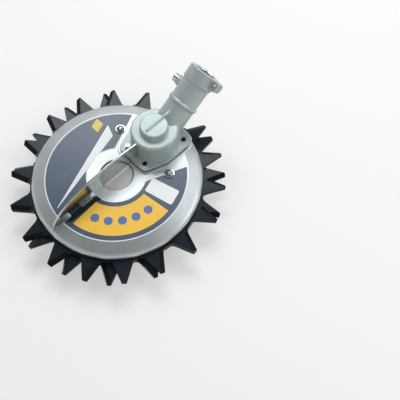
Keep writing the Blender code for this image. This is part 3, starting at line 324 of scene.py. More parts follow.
FINISH_OPTIONS = {
    "cast_grey": dict(patches=140, grain=1100),
    "brushed_silver": dict(turned_at=DISC_Y),
    "shaded_rim_silver": dict(turned_at=DISC_Y),
    "polished_steel": dict(spread=0.04, grain=300, stretch=(1, 0.15, 6)),
    "black_blade": dict(grain=1400, Specular_IOR_Level=0.25),
    # less shine on the steep faces of the teeth, part of their painted shade
    "shaded_black_edge": dict(grain=1400, Specular_IOR_Level=0.12),
    "black_plastic": dict(spread=0.03, grain=500, Specular_IOR_Level=0.6),
    "ground_steel": dict(grain=900, stretch=(1, 1, 4)),
}
FLOOR_FINISH = ((0.50, 0.50, 0.50), 0, 0.6, 0.006, 0)
SMOOTHEST = 0.02
TEXTURE_MIDDLE = (0.3, 0.7)
PATCH_DETAIL = 4
GRAIN_DETAIL = 3
RING_WAVER = 1.5

# Studio
FLOOR_HALF = 6
FLOOR_DROP = 0.4 * MM
FLOOR_LIFT = 0.44
WALL_LIGHT = 0.8
CEILING_LIGHT = 0.12
CEILING_FADE = (0.45, 0.8)
DIM_SIDE = (-0.70, 0.71, 0)
DIM_FADE = (-0.2, 0.9)
DIM_SHARE = 0.6
LAMP_TARGET = (0, 0, 0.03)
LAMPS = {
    "window": dict(place=(-0.72, 0.80, 1.42), size=(1.3, 0.68), power=17, colour=(0.95, 0.98, 1)),
    "side_window": dict(place=(0.85, 1.0, 1.25), size=(0.9, 0.9), power=9, colour=(0.97, 0.99, 1)),
}
CAMERA_PLACE = (0.2791, -0.1658, 0.6416)
CAMERA_FORWARD = (-0.2970, 0.2939, -0.9085)
CAMERA_RIGHT = (0.7034, 0.7108, 0)
CAMERA_LENS = 57.9
CAMERA_SENSOR = 36
CAMERA_NEAR = 0.01


def mesh_from(shape, name):
    """Mesh data of an edited bmesh with its faces pointing out, smooth except over sharp edges."""
    bmesh.ops.recalc_face_normals(shape, faces=shape.faces)
    mesh = bpy.data.meshes.new(name)
    shape.to_mesh(mesh)
    shape.free()
    mesh.shade_smooth()
    mesh.set_sharp_from_angle(angle=SHARP)
    return mesh


def holder(name, mesh, matrix=Matrix.Identity(4)):
    """An object with its place in its mesh."""
    mesh.transform(matrix)
    item = bpy.data.objects.new(name, mesh)
    bpy.context.scene.collection.objects.link(item)
    return item


def evaluated(item):
    """Mesh data of an object with its modifiers applied; the object goes."""
    bpy.context.view_layer.update()
    graph = bpy.context.evaluated_depsgraph_get()
    mesh = bpy.data.meshes.new_from_object(item.evaluated_get(graph))
    bpy.data.objects.remove(item, do_unlink=True)
    return mesh


def joined(mesh, operation, others):
    """Mesh data of a Boolean with other meshes."""
    item = holder("body", mesh)
    tools = [holder("tool", other) for other in others]
    for tool in tools:
        step = item.modifiers.new("step", "BOOLEAN")
        step.operation = operation
        step.solver = "EXACT"
        step.object = tool
    made = evaluated(item)
    for tool in tools:
        bpy.data.objects.remove(tool, do_unlink=True)
    made.shade_smooth()
    made.set_sharp_from_angle(angle=SHARP)
    return made


def cut(mesh, *others):
    """Mesh data with other meshes taken out of it."""
    return joined(mesh, "DIFFERENCE", others)


def crisp(mesh):
    """The same mesh data, with hard edges round its level faces, so that these are shaded evenly."""
    shape = bmesh.new()
    shape.from_mesh(mesh)
    for edge in shape.edges:
        level = {abs(face.normal.z) > LEVEL for face in edge.link_faces}
        if len(level) == 2:
            edge.smooth = False
    shape.to_mesh(mesh)
    shape.free()
    return mesh


def placed(mesh, matrix):
    """The same mesh data, moved."""
    mesh.transform(matrix)
    return mesh


def copies(mesh, matrices):
    """Several placed copies of one mesh, as one mesh."""
    shape = bmesh.new()
    for matrix in matrices:
        start = len(shape.verts)
        shape.from_mesh(mesh)
        shape.verts.ensure_lookup_table()
        bmesh.ops.transform(shape, matrix=matrix, verts=shape.verts[start:])
    return mesh_from(shape, mesh.name + "_set")


def bridge(shape, one, other):
    """Faces between two rings of points, of which either may be a single point."""
    count = max(len(one), len(other))
    for i in range(count):
        j = (i + 1) % count
        corners = [one[i % len(one)], one[j % len(one)], other[j % len(other)], other[i % len(other)]]
        kept = list(dict.fromkeys(corners))
        if len(kept) > 2:
            shape.faces.new(kept)


def loft(name, rows, closed=False):
    """Mesh data between rows of points; an open row of rows is closed by its end faces."""
    shape = bmesh.new()
    made = [[shape.verts.new(point) for point in row] for row in rows]
    for one, other in zip(made, made[1:]):
        bridge(shape, one, other)
    if closed:
        bridge(shape, made[-1], made[0])
    else:
        for end in (made[0], made[-1]):
            if len(end) > 2:
                shape.faces.new(end)
    return mesh_from(shape, name)


def polar(radius, angle):
    """A flat point by its distance and direction."""
    return (radius * math.cos(angle), radius * math.sin(angle))


def arc(centre, radius, start, end, steps):
    """Points along an arc, both ends included."""
    angles = [start + (end - start) * i / steps for i in range(steps + 1)]
    return [(centre[0] + radius * math.cos(a), centre[1] + radius * math.sin(a)) for a in angles]


def circle(radius, steps=96, centre=(0, 0)):
    """Points round a circle."""
    return arc(centre, radius, 0, 2 * math.pi, steps)[:-1]


def scaled(points):
    """Flat points that are given in millimetres."""
    return [(x * MM, y * MM) for x, y in points]


def turned(name, line, steps=96, closed=False, knurl=None):
    """Mesh data of (radius, height) points turned round Z; knurl is (lowest, highest, count, depth)."""
    rows = []
    for radius, height in line:
        if radius < ON_AXIS:
            rows.append([(0, 0, height)])
            continue
        row = []
        for i in range(steps):
            angle = 2 * math.pi * i / steps
            dip = 0
            if knurl and knurl[0] <= height <= knurl[1]:
                dip = knurl[3] * (0.5 - 0.5 * math.cos(knurl[2] * angle))
            row.append((*polar(radius - dip, angle), height))
        rows.append(row)
    return loft(name, rows, closed)


def column(name, radius, low, high, steps=96):
    """Mesh data of a plain round tool."""
    return turned(name, [(0, low), (radius, low), (radius, high), (0, high)], steps)


def rounded(points, radius, steps=4, closed=True):
    """A polygon with its corners rounded; radius is one number or a list with one for each corner."""
    made = []
    count = len(points)
    for i, point in enumerate(points):
        bend = radius[i] if isinstance(radius, (list, tuple)) else radius
        if bend <= 0 or (not closed and i in (0, count - 1)):
            made.append(tuple(point))
            continue
        here = Vector(point)
        back = Vector(points[i - 1]) - here
        ahead = Vector(points[(i + 1) % count]) - here
        spread = back.angle(ahead, math.pi)
        if spread > STRAIGHT:
            made.append(tuple(point))
            continue
        longest = CORNER_SHARE * min(back.length, ahead.length)
        reach = min(bend / math.tan(spread / 2), longest)
        start = here + back.normalized() * reach
        end = here + ahead.normalized() * reach
        for k in range(steps + 1):
            t = k / steps
            weight = 2 * t * (1 - t) * math.sin(spread / 2)
            total = (1 - t) ** 2 + weight + t ** 2
            made.append(tuple((start * (1 - t) ** 2 + here * weight + end * t ** 2) / total))
    return made


def area(loop):
    """Signed area of a loop, positive if it runs counterclockwise."""
    pairs = zip(loop, loop[1:] + loop[:1])
    return sum(ax * by - bx * ay for (ax, ay), (bx, by) in pairs) / 2


def inset(loop, distance):
    """A counterclockwise loop moved inwards."""
    moved = []
    for i, point in enumerate(loop):
        back = (Vector(point) - Vector(loop[i - 1])).normalized()
        ahead = (Vector(loop[(i + 1) % len(loop)]) - Vector(point)).normalized()
        one = Vector((-back.y, back.x))
        two = Vector((-ahead.y, ahead.x))
        mitre = distance / max(1 + one.dot(two), LEAST_MITRE)
        moved.append(tuple(Vector(point) + (one + two) * mitre))
    return moved


def slab(name, loops, low, high, edge=0.0, steps=3):
    """Mesh data of a flat outline and its holes, with rounded edges at top and bottom."""
    levels = [(0, low), (0, high)]
    if edge:
        turns = [math.pi / 2 * i / steps for i in range(steps + 1)]
        quarter = [(edge * (1 - math.cos(a)), edge * (1 - math.sin(a))) for a in reversed(turns)]
        levels = [(a, low + b) for a, b in quarter] + [(a, high - b) for a, b in reversed(quarter)]
    shape = bmesh.new()
    ends = ([], [])
    for k, loop in enumerate(loops):
        line = list(loop) if area(list(loop)) > 0 else list(reversed(loop))
        side = -1 if k else 1
        rows = []
        for move, height in levels:
            rows.append([shape.verts.new((x, y, height)) for x, y in inset(line, side * move)])
        for one, other in zip(rows, rows[1:]):
            bridge(shape, one, other)
        for found, row in zip(ends, (rows[0], rows[-1])):
            found += [shape.edges.get((row[i - 1], row[i])) for i in range(len(row))]
    for found in ends:
        bmesh.ops.triangle_fill(shape, use_beauty=True, use_dissolve=True, edges=found)
    return mesh_from(shape, name)


def belt(corners, margin=0.0):
    """The outline of a belt pulled round circles in millimetres, listed counterclockwise."""
    headings = []
    for i, (ax, ay, ar) in enumerate(corners):
        bx, by, br = corners[(i + 1) % len(corners)]
        lean = math.asin((ar - br) / math.hypot(bx - ax, by - ay))
        headings.append(math.atan2(by - ay, bx - ax) + lean - math.pi / 2)
    points = []
    for i, (x, y, radius) in enumerate(corners):
        start = headings[i - 1]
        end = start + (headings[i] - start) % (2 * math.pi)
        points += arc((x * MM, y * MM), radius * MM + margin, start, end, 12)
    return points


def flange_outline(margin=0.0):
    """The gear case's foot, about the crank's axis."""
    left = [(-x, y, radius) for x, y, radius in reversed(FLANGE_CORNERS)]
    return belt(FLANGE_CORNERS + left, margin)


def hexagon(across):
    """A hexagon by its width across flats."""
    return [polar(across / math.sqrt(3), math.pi / 3 * i) for i in range(6)]


def piece_space(tree, setting, value):
    """Coordinates in the piece's own space, in metres, with one setting of their mapping."""
    place = tree.nodes.new("ShaderNodeTexCoord")
    space = tree.nodes.new("ShaderNodeMapping")
    space.inputs[setting].default_value = value
    tree.links.new(place.outputs["Object"], space.inputs["Vector"])
    return space.outputs["Vector"]


def noise(tree, scale, detail, stretch=(1, 1, 1)):
    """A noise texture; scale counts features in a metre."""
    texture = tree.nodes.new("ShaderNodeTexNoise")
    texture.inputs["Scale"].default_value = scale
    texture.inputs["Detail"].default_value = detail
    tree.links.new(piece_space(tree, "Scale", stretch), texture.inputs["Vector"])
    return texture.outputs["Fac"]


def rings(tree, centre_y, scale):
    """Fine rings round an upright axis, as a lathe or a brush leaves them."""
    texture = tree.nodes.new("ShaderNodeTexWave")
    texture.wave_type = "RINGS"
    texture.rings_direction = "Z"
    texture.inputs["Scale"].default_value = scale
    texture.inputs["Distortion"].default_value = RING_WAVER
    texture.inputs["Detail"].default_value = GRAIN_DETAIL
    tree.links.new(piece_space(tree, "Location", (0, -centre_y, 0)), texture.inputs["Vector"])
    return texture.outputs["Fac"]


def mapped(tree, source, span, values, kind="LINEAR"):
    """A span of one number laid over a pair of values."""
    node = tree.nodes.new("ShaderNodeMapRange")
    node.interpolation_type = kind
    for socket, value in zip(("From Min", "From Max", "To Min", "To Max"), (*span, *values)):
        node.inputs[socket].default_value = value
    tree.links.new(source, node.inputs["Value"])
    return node.outputs["Result"]


def reckoned(tree, operation, one, other):
    """A number reckoned from two others."""
    node = tree.nodes.new("ShaderNodeMath")
    node.operation = operation
    tree.links.new(one, node.inputs[0])
    tree.links.new(other, node.inputs[1])
    return node.outputs["Value"]


def shaded(tree, source, colour, share):
    """A colour that goes darker and lighter by a share."""
    node = tree.nodes.new("ShaderNodeMix")
    node.data_type = "RGBA"
    low, high = ([min(1, c * (1 + sign * share)) for c in colour] for sign in (-1, 1))
    sockets = [socket for socket in node.inputs if socket.type == "RGBA"]
    sockets[0].default_value = (*low, 1)
    sockets[1].default_value = (*high, 1)
    tree.links.new(mapped(tree, source, TEXTURE_MIDDLE, (0, 1)), node.inputs["Factor"])
    return next(socket for socket in node.outputs if socket.type == "RGBA")


def finish(name, colour, metallic, roughness, share, bump, patches=60, grain=1500, spread=0.06,
           lift=0.04 * MM, stretch=(1, 1, 1), turned_at=None, turning=420, **sockets):
    """A procedural material: patches of colour, and a grain that drives roughness and relief."""
    made = bpy.data.materials.new(name)
    made.use_nodes = True
    tree = made.node_tree
    shader = tree.nodes["Principled BSDF"]
    shader.inputs["Metallic"].default_value = metallic
    for socket, value in sockets.items():
        shader.inputs[socket.replace("_", " ")].default_value = value
    broad = noise(tree, patches, PATCH_DETAIL)
    if turned_at is None:
        fine = noise(tree, grain, GRAIN_DETAIL, stretch)
    else:
        fine = rings(tree, turned_at, turning)
    tree.links.new(shaded(tree, broad, colour, share), shader.inputs["Base Color"])
    levels = (max(SMOOTHEST, roughness - spread), roughness + spread)
    tree.links.new(mapped(tree, fine, TEXTURE_MIDDLE, levels), shader.inputs["Roughness"])
    relief = tree.nodes.new("ShaderNodeBump")
    relief.inputs["Strength"].default_value = bump
    relief.inputs["Distance"].default_value = lift
    tree.links.new(fine, relief.inputs["Height"])
    tree.links.new(relief.outputs["Normal"], shader.inputs["Normal"])
    return made


LOOKS = {
    name: finish(name, *values, **FINISH_OPTIONS.get(name, {}))
    for name, values in FINISHES.items()}


def piece(name, mesh, slot, node, matrix=Matrix.Identity(4), looks=None, body="housing"):
    """A finished piece on a body, which may stand for a CAD node and has its finish from a slot."""
    item = holder(name, mesh, matrix)
    for look in looks or [slot]:
        item.data.materials.append(LOOKS[look])
    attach(item, body)
    if node:
        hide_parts(node)


def dress_frame():
    """Give every CAD node that still shows the finish of its slot."""
    for node in frame["nodes"].values():
        for slot in node.material_slots:
            slot.material = LOOKS[slot.material.name.split(".")[0]]


def tooth_outline(angle, teeth):
    """One tooth from root to root, with a radius for each corner."""
    spread = TIP_HALF_WIDTH + (TIP_RADIUS - ROOT_RADIUS) * math.tan(FLANK_ANGLE) + ROOT_FILLET_SPREAD
    fillet = TIP_HALF_WIDTH + (TIP_RADIUS - ROOT_FILLET_RADIUS) * math.tan(FLANK_ANGLE)
    foot = min(spread / ROOT_RADIUS, ROOT_SHARE * math.pi / teeth)
    side = [polar(ROOT_RADIUS, foot), (ROOT_FILLET_RADIUS, fillet), (TIP_RADIUS, TIP_HALF_WIDTH)]
    points = [(x, -y) for x, y in side] + list(reversed(side))
    turn = Matrix.Rotation(angle, 2)
    radii = [ROOT_ROUND, ROOT_ROUND, TIP_ROUND, TIP_ROUND, ROOT_ROUND, ROOT_ROUND]
    return [tuple(turn @ Vector(point)) for point in points], radii


def window_outline():
    """The slot in a blade that an eccentric's roller swings in."""
    right = arc((WINDOW_HALF, CRANK_OFFSET), WINDOW_RADIUS, -math.pi / 2, math.pi / 2, 24)
    left = arc((-WINDOW_HALF, CRANK_OFFSET), WINDOW_RADIUS, math.pi / 2, 3 * math.pi / 2, 24)
    return right + left


def blade_sheet(name, angles, low):
    """A blade as it is stamped, with its teeth, bore and window."""
    points, radii = [], []
    for angle in angles:
        more, bends = tooth_outline(angle, len(angles))
        points += more
        radii += bends
    loops = [rounded(points, radii), circle(BLADE_BORE_RADIUS), window_outline()]
    return slab(name, loops, low, low + BLADE_THICKNESS, BLADE_EDGE)


def grind_matrix(angle, side, level):
    """Frame of a tooth's flank: X runs into the tooth, Y up and Z along the edge."""
    edge = Vector((TIP_RADIUS, side * TIP_HALF_WIDTH, 0))
    along = Vector((-math.cos(FLANK_ANGLE), side * math.sin(FLANK_ANGLE), 0))
    inward = Vector((-math.sin(FLANK_ANGLE), -side * math.cos(FLANK_ANGLE), 0))
    grind = Matrix((inward, Vector((0, 0, 1)), along)).transposed().to_4x4()
    grind.translation = edge + Vector((0, 0, level))
    return Matrix.Rotation(angle, 4, "Z") @ grind


def mark_ground_faces(mesh, low):
    """Give the steep faces of the teeth, flanks and bevels, painted shade: a darker, less glossy copy
    of the blade's black; give their ground land a bright finish.
    """
    level = low + GRIND_EDGE
    for face in mesh.polygons:
        upright = abs(face.normal.z)
        land = upright > LAND_NORMAL and abs(face.center.z - level) < LAND_MARGIN
        look = "ground_steel" if land else "shaded_black_edge" if upright < STEEP_NORMAL else "black_blade"
        face.material_index = BLADE_LOOKS.index(look)


def dress_blade(name, teeth, low, side, land):
    """A toothed blade with rounded corners, whose teeth are ground on one flank."""
    angles = [TOOTH_PHASE + 2 * math.pi * i / teeth for i in range(teeth)]
    end = land + GRIND_RUN
    above = BLADE_THICKNESS + OVERRUN
    section = [
        (-OVERRUN, GRIND_EDGE), (land, GRIND_EDGE), (end, BLADE_THICKNESS), (end, above),
        (-OVERRUN, above)]
    flank = (TIP_RADIUS - ROOT_FILLET_RADIUS) / math.cos(FLANK_ANGLE)
    wheel = slab("wheel", [section], -OVERRUN, flank)
    wheels = copies(wheel, [grind_matrix(angle, side, low) for angle in angles])
    mesh = cut(blade_sheet(name, angles, low), wheels)
    mark_ground_faces(mesh, low)
    piece("toothed_" + name, crisp(mesh), "black_blade", name, DISC, BLADE_LOOKS, name)


def mark_rim_faces(mesh):
    """Give the cover's rim painted shade, a darker copy of the cover's silver, with a little more
    brushing relief.
    """
    for face in mesh.polygons:
        radius = math.hypot(face.center.x, face.center.y)
        look = "shaded_rim_silver" if radius > COVER_FLAT_RADIUS else "brushed_silver"
        face.material_index = COVER_LOOKS.index(look)


def cover_opening():
    """The tool that opens the cover under the gear case."""
    return placed(column("opening", CAVITY_RADIUS, 0, TALL), OVER_CRANK)


def dress_cover():
    """The pressed cover with its sloped, turned-down rim."""
    section = rounded(scaled(COVER_SECTION), COVER_BENDS, 8)
    shell = turned("cover", section, COVER_STEPS, True)
    shell = cut(shell, cover_opening())
    mark_rim_faces(shell)
    piece("cover_shell", shell, "brushed_silver", "top_cover", DISC, COVER_LOOKS)


def dress_pad():
    """The raised pad of the cover under the gear case."""
    outline = flange_outline(PAD_MARGIN)
    pad = placed(slab("pad", [outline], PAD_LOW, PAD_TOP, PAD_EDGE), OVER_CRANK)
    reach = column("reach", RIM_RADIUS - GAP, 0, TALL, COVER_STEPS)
    pad = joined(pad, "INTERSECT", [reach])
    relief = column("relief", COVER_FLAT_RADIUS - GAP, 0, COVER_TOP - PAD_SUNK, COVER_STEPS)
    pad = cut(pad, relief, cover_opening())
    piece("cover_pad", crisp(pad), "brushed_silver", "top_cover", DISC)


def dress_hub():
    """The hub's machined face, just under the cover's hole."""
    line = rounded(scaled(HUB_FACE), HUB_FACE_BENDS, 4, False)
    piece("hub_face", turned("hub_face", line), "hub_alloy", None, DISC)


def label_outline(border=0.0):
    """The printed sector: round the blade axis from one side of the gear case to the other."""
    outer = LABEL_OUTER - border
    inner = LABEL_INNER + border
    right_top, left_top = (angle - border / outer for angle in LABEL_TOPS)
    right_foot, left_foot = (angle - border / inner for angle in LABEL_FEET)
    points = arc((0, 0), outer, -math.pi - left_top, right_top, 120)
    points += arc((0, 0), inner, right_foot, -math.pi - left_foot, 90)
    return points


def panel_outline():
    """A sector of the label, with one slanted side."""
    start, end = (math.radians(turn) for turn in PANEL_TURNS)
    outer = arc((0, 0), PANEL_OUTER, start, end, 40)
    inner = arc((0, 0), PANEL_INNER, end, start + math.radians(PANEL_SLANT), 30)
    return rounded(outer + inner, PRINT_CORNER)


def print_shape(name, outline, look, level):
    """A thin field of print at a level of the label."""
    mesh = slab(name, [outline], LABEL_LOW, LABEL_HIGH + level * PRINT_STEP)
    piece(name, mesh, "brushed_silver", None, DISC, [look])


def dress_label():
    """A film on the cover with plain fields of colour and nothing written on it."""
    print_shape("label_film", label_outline(), "print_white", 0)
    print_shape("label_field", label_outline(LABEL_BORDER), "print_slate", 1)
    print_shape("label_wedge", rounded(scaled(WEDGE), PRINT_CORNER), "print_white", 2)
    print_shape("label_square", rounded(scaled(SQUARE), SQUARE_CORNER), "print_yellow", 2)
    print_shape("label_window", rounded(scaled(WHITE_WINDOW), WHITE_WINDOW_CORNER), "print_white", 2)
    print_shape("label_panel", panel_outline(), "print_amber", 2)
    print_shape("label_band", scaled(BLACK_BAND), "print_black", 2)
    for i in range(DOT_COUNT):
        place = polar(DOT_CIRCLE, math.radians(DOT_START + DOT_TURN * i))
        print_shape("label_dot_%d" % (i + 1), circle(DOT_RADIUS, 40, place), "print_blue", 3)


def fin_top():
    """Points of the fin's top edge, from its root to its nose."""
    points = []
    for i in range(FIN_STEPS + 1):
        turn = FIN_TURNS[0] + (FIN_TURNS[1] - FIN_TURNS[0]) * i / FIN_STEPS
        height = FIN_RISE * (1 - abs(math.sin(turn)) ** FIN_POWER) ** (1 / FIN_POWER)
        points.append((FIN_MIDDLE - FIN_REACH * math.sin(turn), FIN_FOOT_Z + height))
    return points


def dress_fin():
    """The polished fin, stepped underneath to clear the cover, its pad and the gear case's foot."""
    step = CRANK_OFFSET + FLANGE_FRONT - GAP
    pad_front = step - PAD_MARGIN
    root = CRANK_OFFSET - DRUM_FOOT_RADIUS - GAP
    under = [
        (-FIN_NOSE[0], FIN_NOSE[1] + GAP), (-COVER_FLAT_RADIUS, COVER_TOP + GAP),
        (pad_front, COVER_TOP + GAP), (pad_front, PAD_TOP + GAP), (step, PAD_TOP + GAP),
        (step, FLANGE_HIGH + GAP), (root, FLANGE_HIGH + GAP)]
    half = FIN_THICKNESS / 2
    plate = crisp(slab("fin", [fin_top() + under], -half, half, FIN_EDGE))
    piece("fin_plate", plate, "polished_steel", "deflector_fin", DISC @ SIDE_VIEW)


def dress_fin_tabs():
    """The fin's two bent foot tabs."""
    wide, length, thick = FIN_TAB_SIZE
    low = COVER_TOP + GAP
    for i, near in enumerate(FIN_TABS):
        far = near - length
        outline = [(FIN_TAB_START, far), (wide, far), (wide, near), (FIN_TAB_START, near)]
        tab = slab("tab", [rounded(outline, FIN_TAB_BENDS)], low, low + thick, FIN_TAB_EDGE)
        piece("fin_tab_%d" % (i + 1), tab, "polished_steel", "deflector_fin", DISC)


def locator_frame():
    """The locating screw's frame: its Z runs across the pipe."""
    return PIPE @ Matrix.Translation((0, 0, LOCATOR_Z)) @ Matrix.Rotation(math.pi / 2, 4, "Y")


def clamp_frame():
    """The clamp screw's frame: its Z runs square to the slit."""
    return PIPE @ Matrix.Translation(CLAMP_PLACE) @ Matrix.Rotation(math.pi / 2, 4, "X")


def case_solids():
    """The bodies that the casting is made of."""
    drum = turned("drum", rounded(scaled(DRUM), DRUM_BENDS, 4, False))
    foot = slab("foot", [flange_outline()], FLANGE_LOW, FLANGE_HIGH, CAST_EDGE)
    neck = turned("neck", rounded(scaled(NECK), NECK_BEND, 3, False))
    web = slab("web", [scaled(WEB)], -WEB_HALF, WEB_HALF)
    boss = turned("boss", scaled(BOSS), 48)
    ears = slab("ears", [rounded(scaled(EARS), EAR_BENDS)], -EAR_HALF, EAR_HALF, CAST_EDGE)
    upright = Matrix.Rotation(math.pi / 2, 4, "X")
    return [
        placed(drum, CRANK), placed(foot, CRANK), placed(neck, PIPE), placed(web, CRANK @ SIDE_VIEW),
        placed(boss, locator_frame()), placed(ears, PIPE @ upright)]


def case_cavity(seat, deep):
    """The room for the gears, and the seat of the crank's top bearing."""
    roof = CAP_Z - CAP_WALL
    shelf = LEDGE_Z - LEDGE_WALL
    line = [
        (0, roof), (seat, roof), (seat, shelf), (CAVITY_RADIUS, shelf), (CAVITY_RADIUS, deep),
        (0, deep)]
    return placed(turned("cavity", line), CRANK)


def case_bore(seat):
    """The pipe's bore with its chamfered mouth, and the input bearings' seat under it."""
    mouth = PIPE_BORE_RADIUS + MOUTH_CHAMFER
    far = PIPE_END + OVERRUN
    line = [
        (0, far), (mouth, far), (mouth, PIPE_END), (PIPE_BORE_RADIUS, PIPE_END - MOUTH_CHAMFER),
        (PIPE_BORE_RADIUS, PIPE_STOP), (seat, PIPE_STOP), (seat, BEARING_LOW),
        (SHAFT_HOLE_RADIUS, BEARING_LOW), (SHAFT_HOLE_RADIUS, SHAFT_HOLE_LOW), (0, SHAFT_HOLE_LOW)]
    return placed(turned("bore", line), PIPE)


def case_tools():
    """What is cut out of the casting."""
    seat = BEARING_RADIUS + GAP
    deep = FLANGE_LOW - OVERRUN
    below = slab("below", [[(-FAR, -FAR), (FAR, -FAR), (FAR, FAR), (-FAR, FAR)]], 0, FLANGE_LOW)
    slit = slab("slit", [scaled(SLIT)], BAND_START, FAR + PIPE_END)
    tapped = column("tapped", SCREW_HOLE_RADIUS, -LOCATOR_HOLE_DEPTH, 0, 40)
    pinch = column("pinch", CLAMP_HOLE_RADIUS, -CLAMP_HOLE_HALF, CLAMP_HOLE_HALF, 40)
    hole = column("hole", SCREW_HOLE_RADIUS, deep, FLANGE_HOLE_TOP, 40)
    spots = [Matrix.Translation((x * MM, y * MM, 0)) for x, y in FLANGE_SCREWS.values()]
    return [
        placed(below, CRANK), case_cavity(seat, deep), case_bore(seat), placed(slit, PIPE),
        placed(tapped, locator_frame()), placed(pinch, clamp_frame()),
        placed(copies(hole, spots), CRANK)]


def mark_machined_faces(mesh):
    """Give the pipe's bore and the socket's end face a machined finish."""
    back = PIPE.inverted()
    for face in mesh.polygons:
        spot = back @ face.center
        radius = math.hypot(spot.x, spot.y)
        bored = radius < PIPE_BORE_RADIUS + BORE_MARGIN and spot.z > PIPE_STOP - STOP_MARGIN
        faced = radius < BAND_RADIUS and spot.z > PIPE_END - FACE_MARGIN
        look = "machined_alloy" if bored or faced else "cast_grey"
        face.material_index = CASE_LOOKS.index(look)


def dress_case():
    """The casting, with soft inner corners where its bodies run together."""
    solids = case_solids()
    mesh = joined(solids[0], "UNION", solids[1:])
    mesh = cut(mesh, *case_tools())
    item = holder("casting", mesh)
    grid = item.modifiers.new("grid", "REMESH")
    grid.mode = "VOXEL"
    grid.voxel_size = CAST_VOXEL
    soft = item.modifiers.new("soft", "SMOOTH")
    soft.factor = CAST_SOFTENING
    soft.iterations = CAST_SOFT_STEPS
    fewer = item.modifiers.new("fewer", "DECIMATE")
    fewer.ratio = CAST_KEEP
    mesh = evaluated(item)
    mesh.shade_smooth()
    mark_machined_faces(mesh)
    piece("case_casting", mesh, "cast_grey", "gear_case", looks=CASE_LOOKS)


def thread(radius, start, end, pitch=0.8 * MM, depth=0.3 * MM):
    """Points of a threaded shank, from start down to end."""
    points = [(radius, start)]
    height = start - 0.5 * pitch
    while height > end + pitch:
        points += [(radius - depth, height), (radius, height - 0.5 * pitch)]
        height -= pitch
    return points + [(radius - depth, end), (0, end)]


def cap_screw(name, sizes, shoulder=0, knurl=0):
    """A socket-head screw that hangs from Z = 0, with a plain shoulder or threaded all the way."""
    head_radius, head_height, radius, length, socket = (value * MM for value in sizes)
    edge = HEAD_EDGE_SHARE * head_radius
    head = [(0, head_height), (head_radius, head_height), (head_radius, 0)]
    line = rounded(head, [0, edge, 0], 4, False)
    if shoulder:
        line.append((radius, 0))
        radius *= NECKED_SHARE
    line += thread(radius, -shoulder * MM, -length)
    bars = (KNURL_START_SHARE * head_height, head_height - edge, knurl, KNURL_DEPTH)
    mesh = turned(name, line, knurl=bars if knurl else None)
    floor = SOCKET_FLOOR_SHARE * head_height
    return cut(mesh, slab("socket", [hexagon(socket)], floor, head_height + OVERRUN))


def hex_bolt():
    """A bolt with a hexagon head on a round collar."""
    shank = turned("fin_bolt", scaled(HEX_BOLT_COLLAR) + thread(*HEX_BOLT_SHANK), 64)
    head = slab("head", [hexagon(HEX_BOLT_ACROSS)], *HEX_BOLT_HEAD, HEX_BOLT_EDGE)
    return joined(shank, "UNION", [head])


def dress_pipe_screws():
    """The locating screw on the neck and the pinch screw through the ears."""
    seat = Matrix.Translation(PIPE @ Vector((-LOCATOR_SEAT, 0, LOCATOR_Z)))
    place = seat @ Matrix.Rotation(-math.pi / 2, 4, "Y")
    mesh = cap_screw("locating", LOCATING_SCREW, knurl=32)
    piece("locating_cap_screw", mesh, "zinc_steel", "locating_screw", place)
    seat = Matrix.Translation((0, 0, CLAMP_SEAT))
    place = clamp_frame() @ Matrix.Rotation(math.pi, 4, "X") @ seat
    mesh = cap_screw("pinch", PINCH_SCREW, knurl=24)
    piece("clamp_cap_screw", mesh, "zinc_steel", "clamp_screw", place)


def dress_case_screws():
    """Dark socket screws sunk in the foot, and a bright hexagon bolt at the fin's root."""
    for name, (x, y) in FLANGE_SCREWS.items():
        spot = CRANK @ Matrix.Translation((x * MM, y * MM, FLANGE_HIGH))
        if name == "fin_bolt":
            lift = Matrix.Translation((0, 0, GAP))
            piece("fin_hex_bolt", hex_bolt(), "zinc_steel", name, spot @ lift)
        else:
            sunk = Matrix.Translation((0, 0, -CASE_SCREW_SUNK))
            mesh = cap_screw(name, CASE_SCREW)
            piece("sunk_" + name, mesh, "dark_steel", name, spot @ sunk)


def dress_cover_screws():
    """Two pan-head screws with a cross recess, each on a thin washer."""
    for number, side in enumerate((-1, 1), 1):
        angle = math.pi / 2 + side * PAN_TURN
        spot = DISC @ Matrix.Translation((*polar(PAN_CIRCLE, angle), COVER_TOP + GAP))
        mesh = turned("pan", scaled(PAN_DOME) + thread(*PAN_SHANK), 64)
        bar = slab("bar", [scaled(PAN_RECESS)], PAN_RECESS_FLOOR, OVERRUN)
        turns = [Matrix.Rotation(angle + quarter * math.pi / 2, 4, "Z") for quarter in (0, 1)]
        mesh = cut(mesh, *[placed(bar.copy(), turn) for turn in turns])
        node = "cover_screw_%d" % number
        # The pan heads take a darker copy of the zinc finish as painted shade
        piece("pan_screw_%d" % number, mesh, "zinc_steel", node, spot, ["screw_steel"])
        ring = turned("washer", rounded(scaled(PAN_WASHER), RING_EDGE, 2), 64, True)
        piece("pan_washer_%d" % number, ring, "zinc_steel", None, spot)


def hub_angle(step):
    """The direction of a bolt under the hub, or half a step on, of a lobe."""
    return math.pi / 2 + 2 * math.pi * step / BOLT_COUNT


def dress_hub_bolts():
    """Shoulder bolts under the hub, with socket heads."""
    over = Matrix.Rotation(math.pi, 4, "X")
    for i in range(BOLT_COUNT):
        place = Matrix.Translation((*polar(BOLT_CIRCLE, hub_angle(i)), BOLT_SEAT))
        mesh = cap_screw("hub_bolt", SHOULDER_BOLT, SHOULDER, knurl=24)
        node = "hub_bolt_%d" % (i + 1)
        name = "shoulder_bolt_%d" % (i + 1)
        piece(name, mesh, "dark_steel", node, DISC @ place @ over)


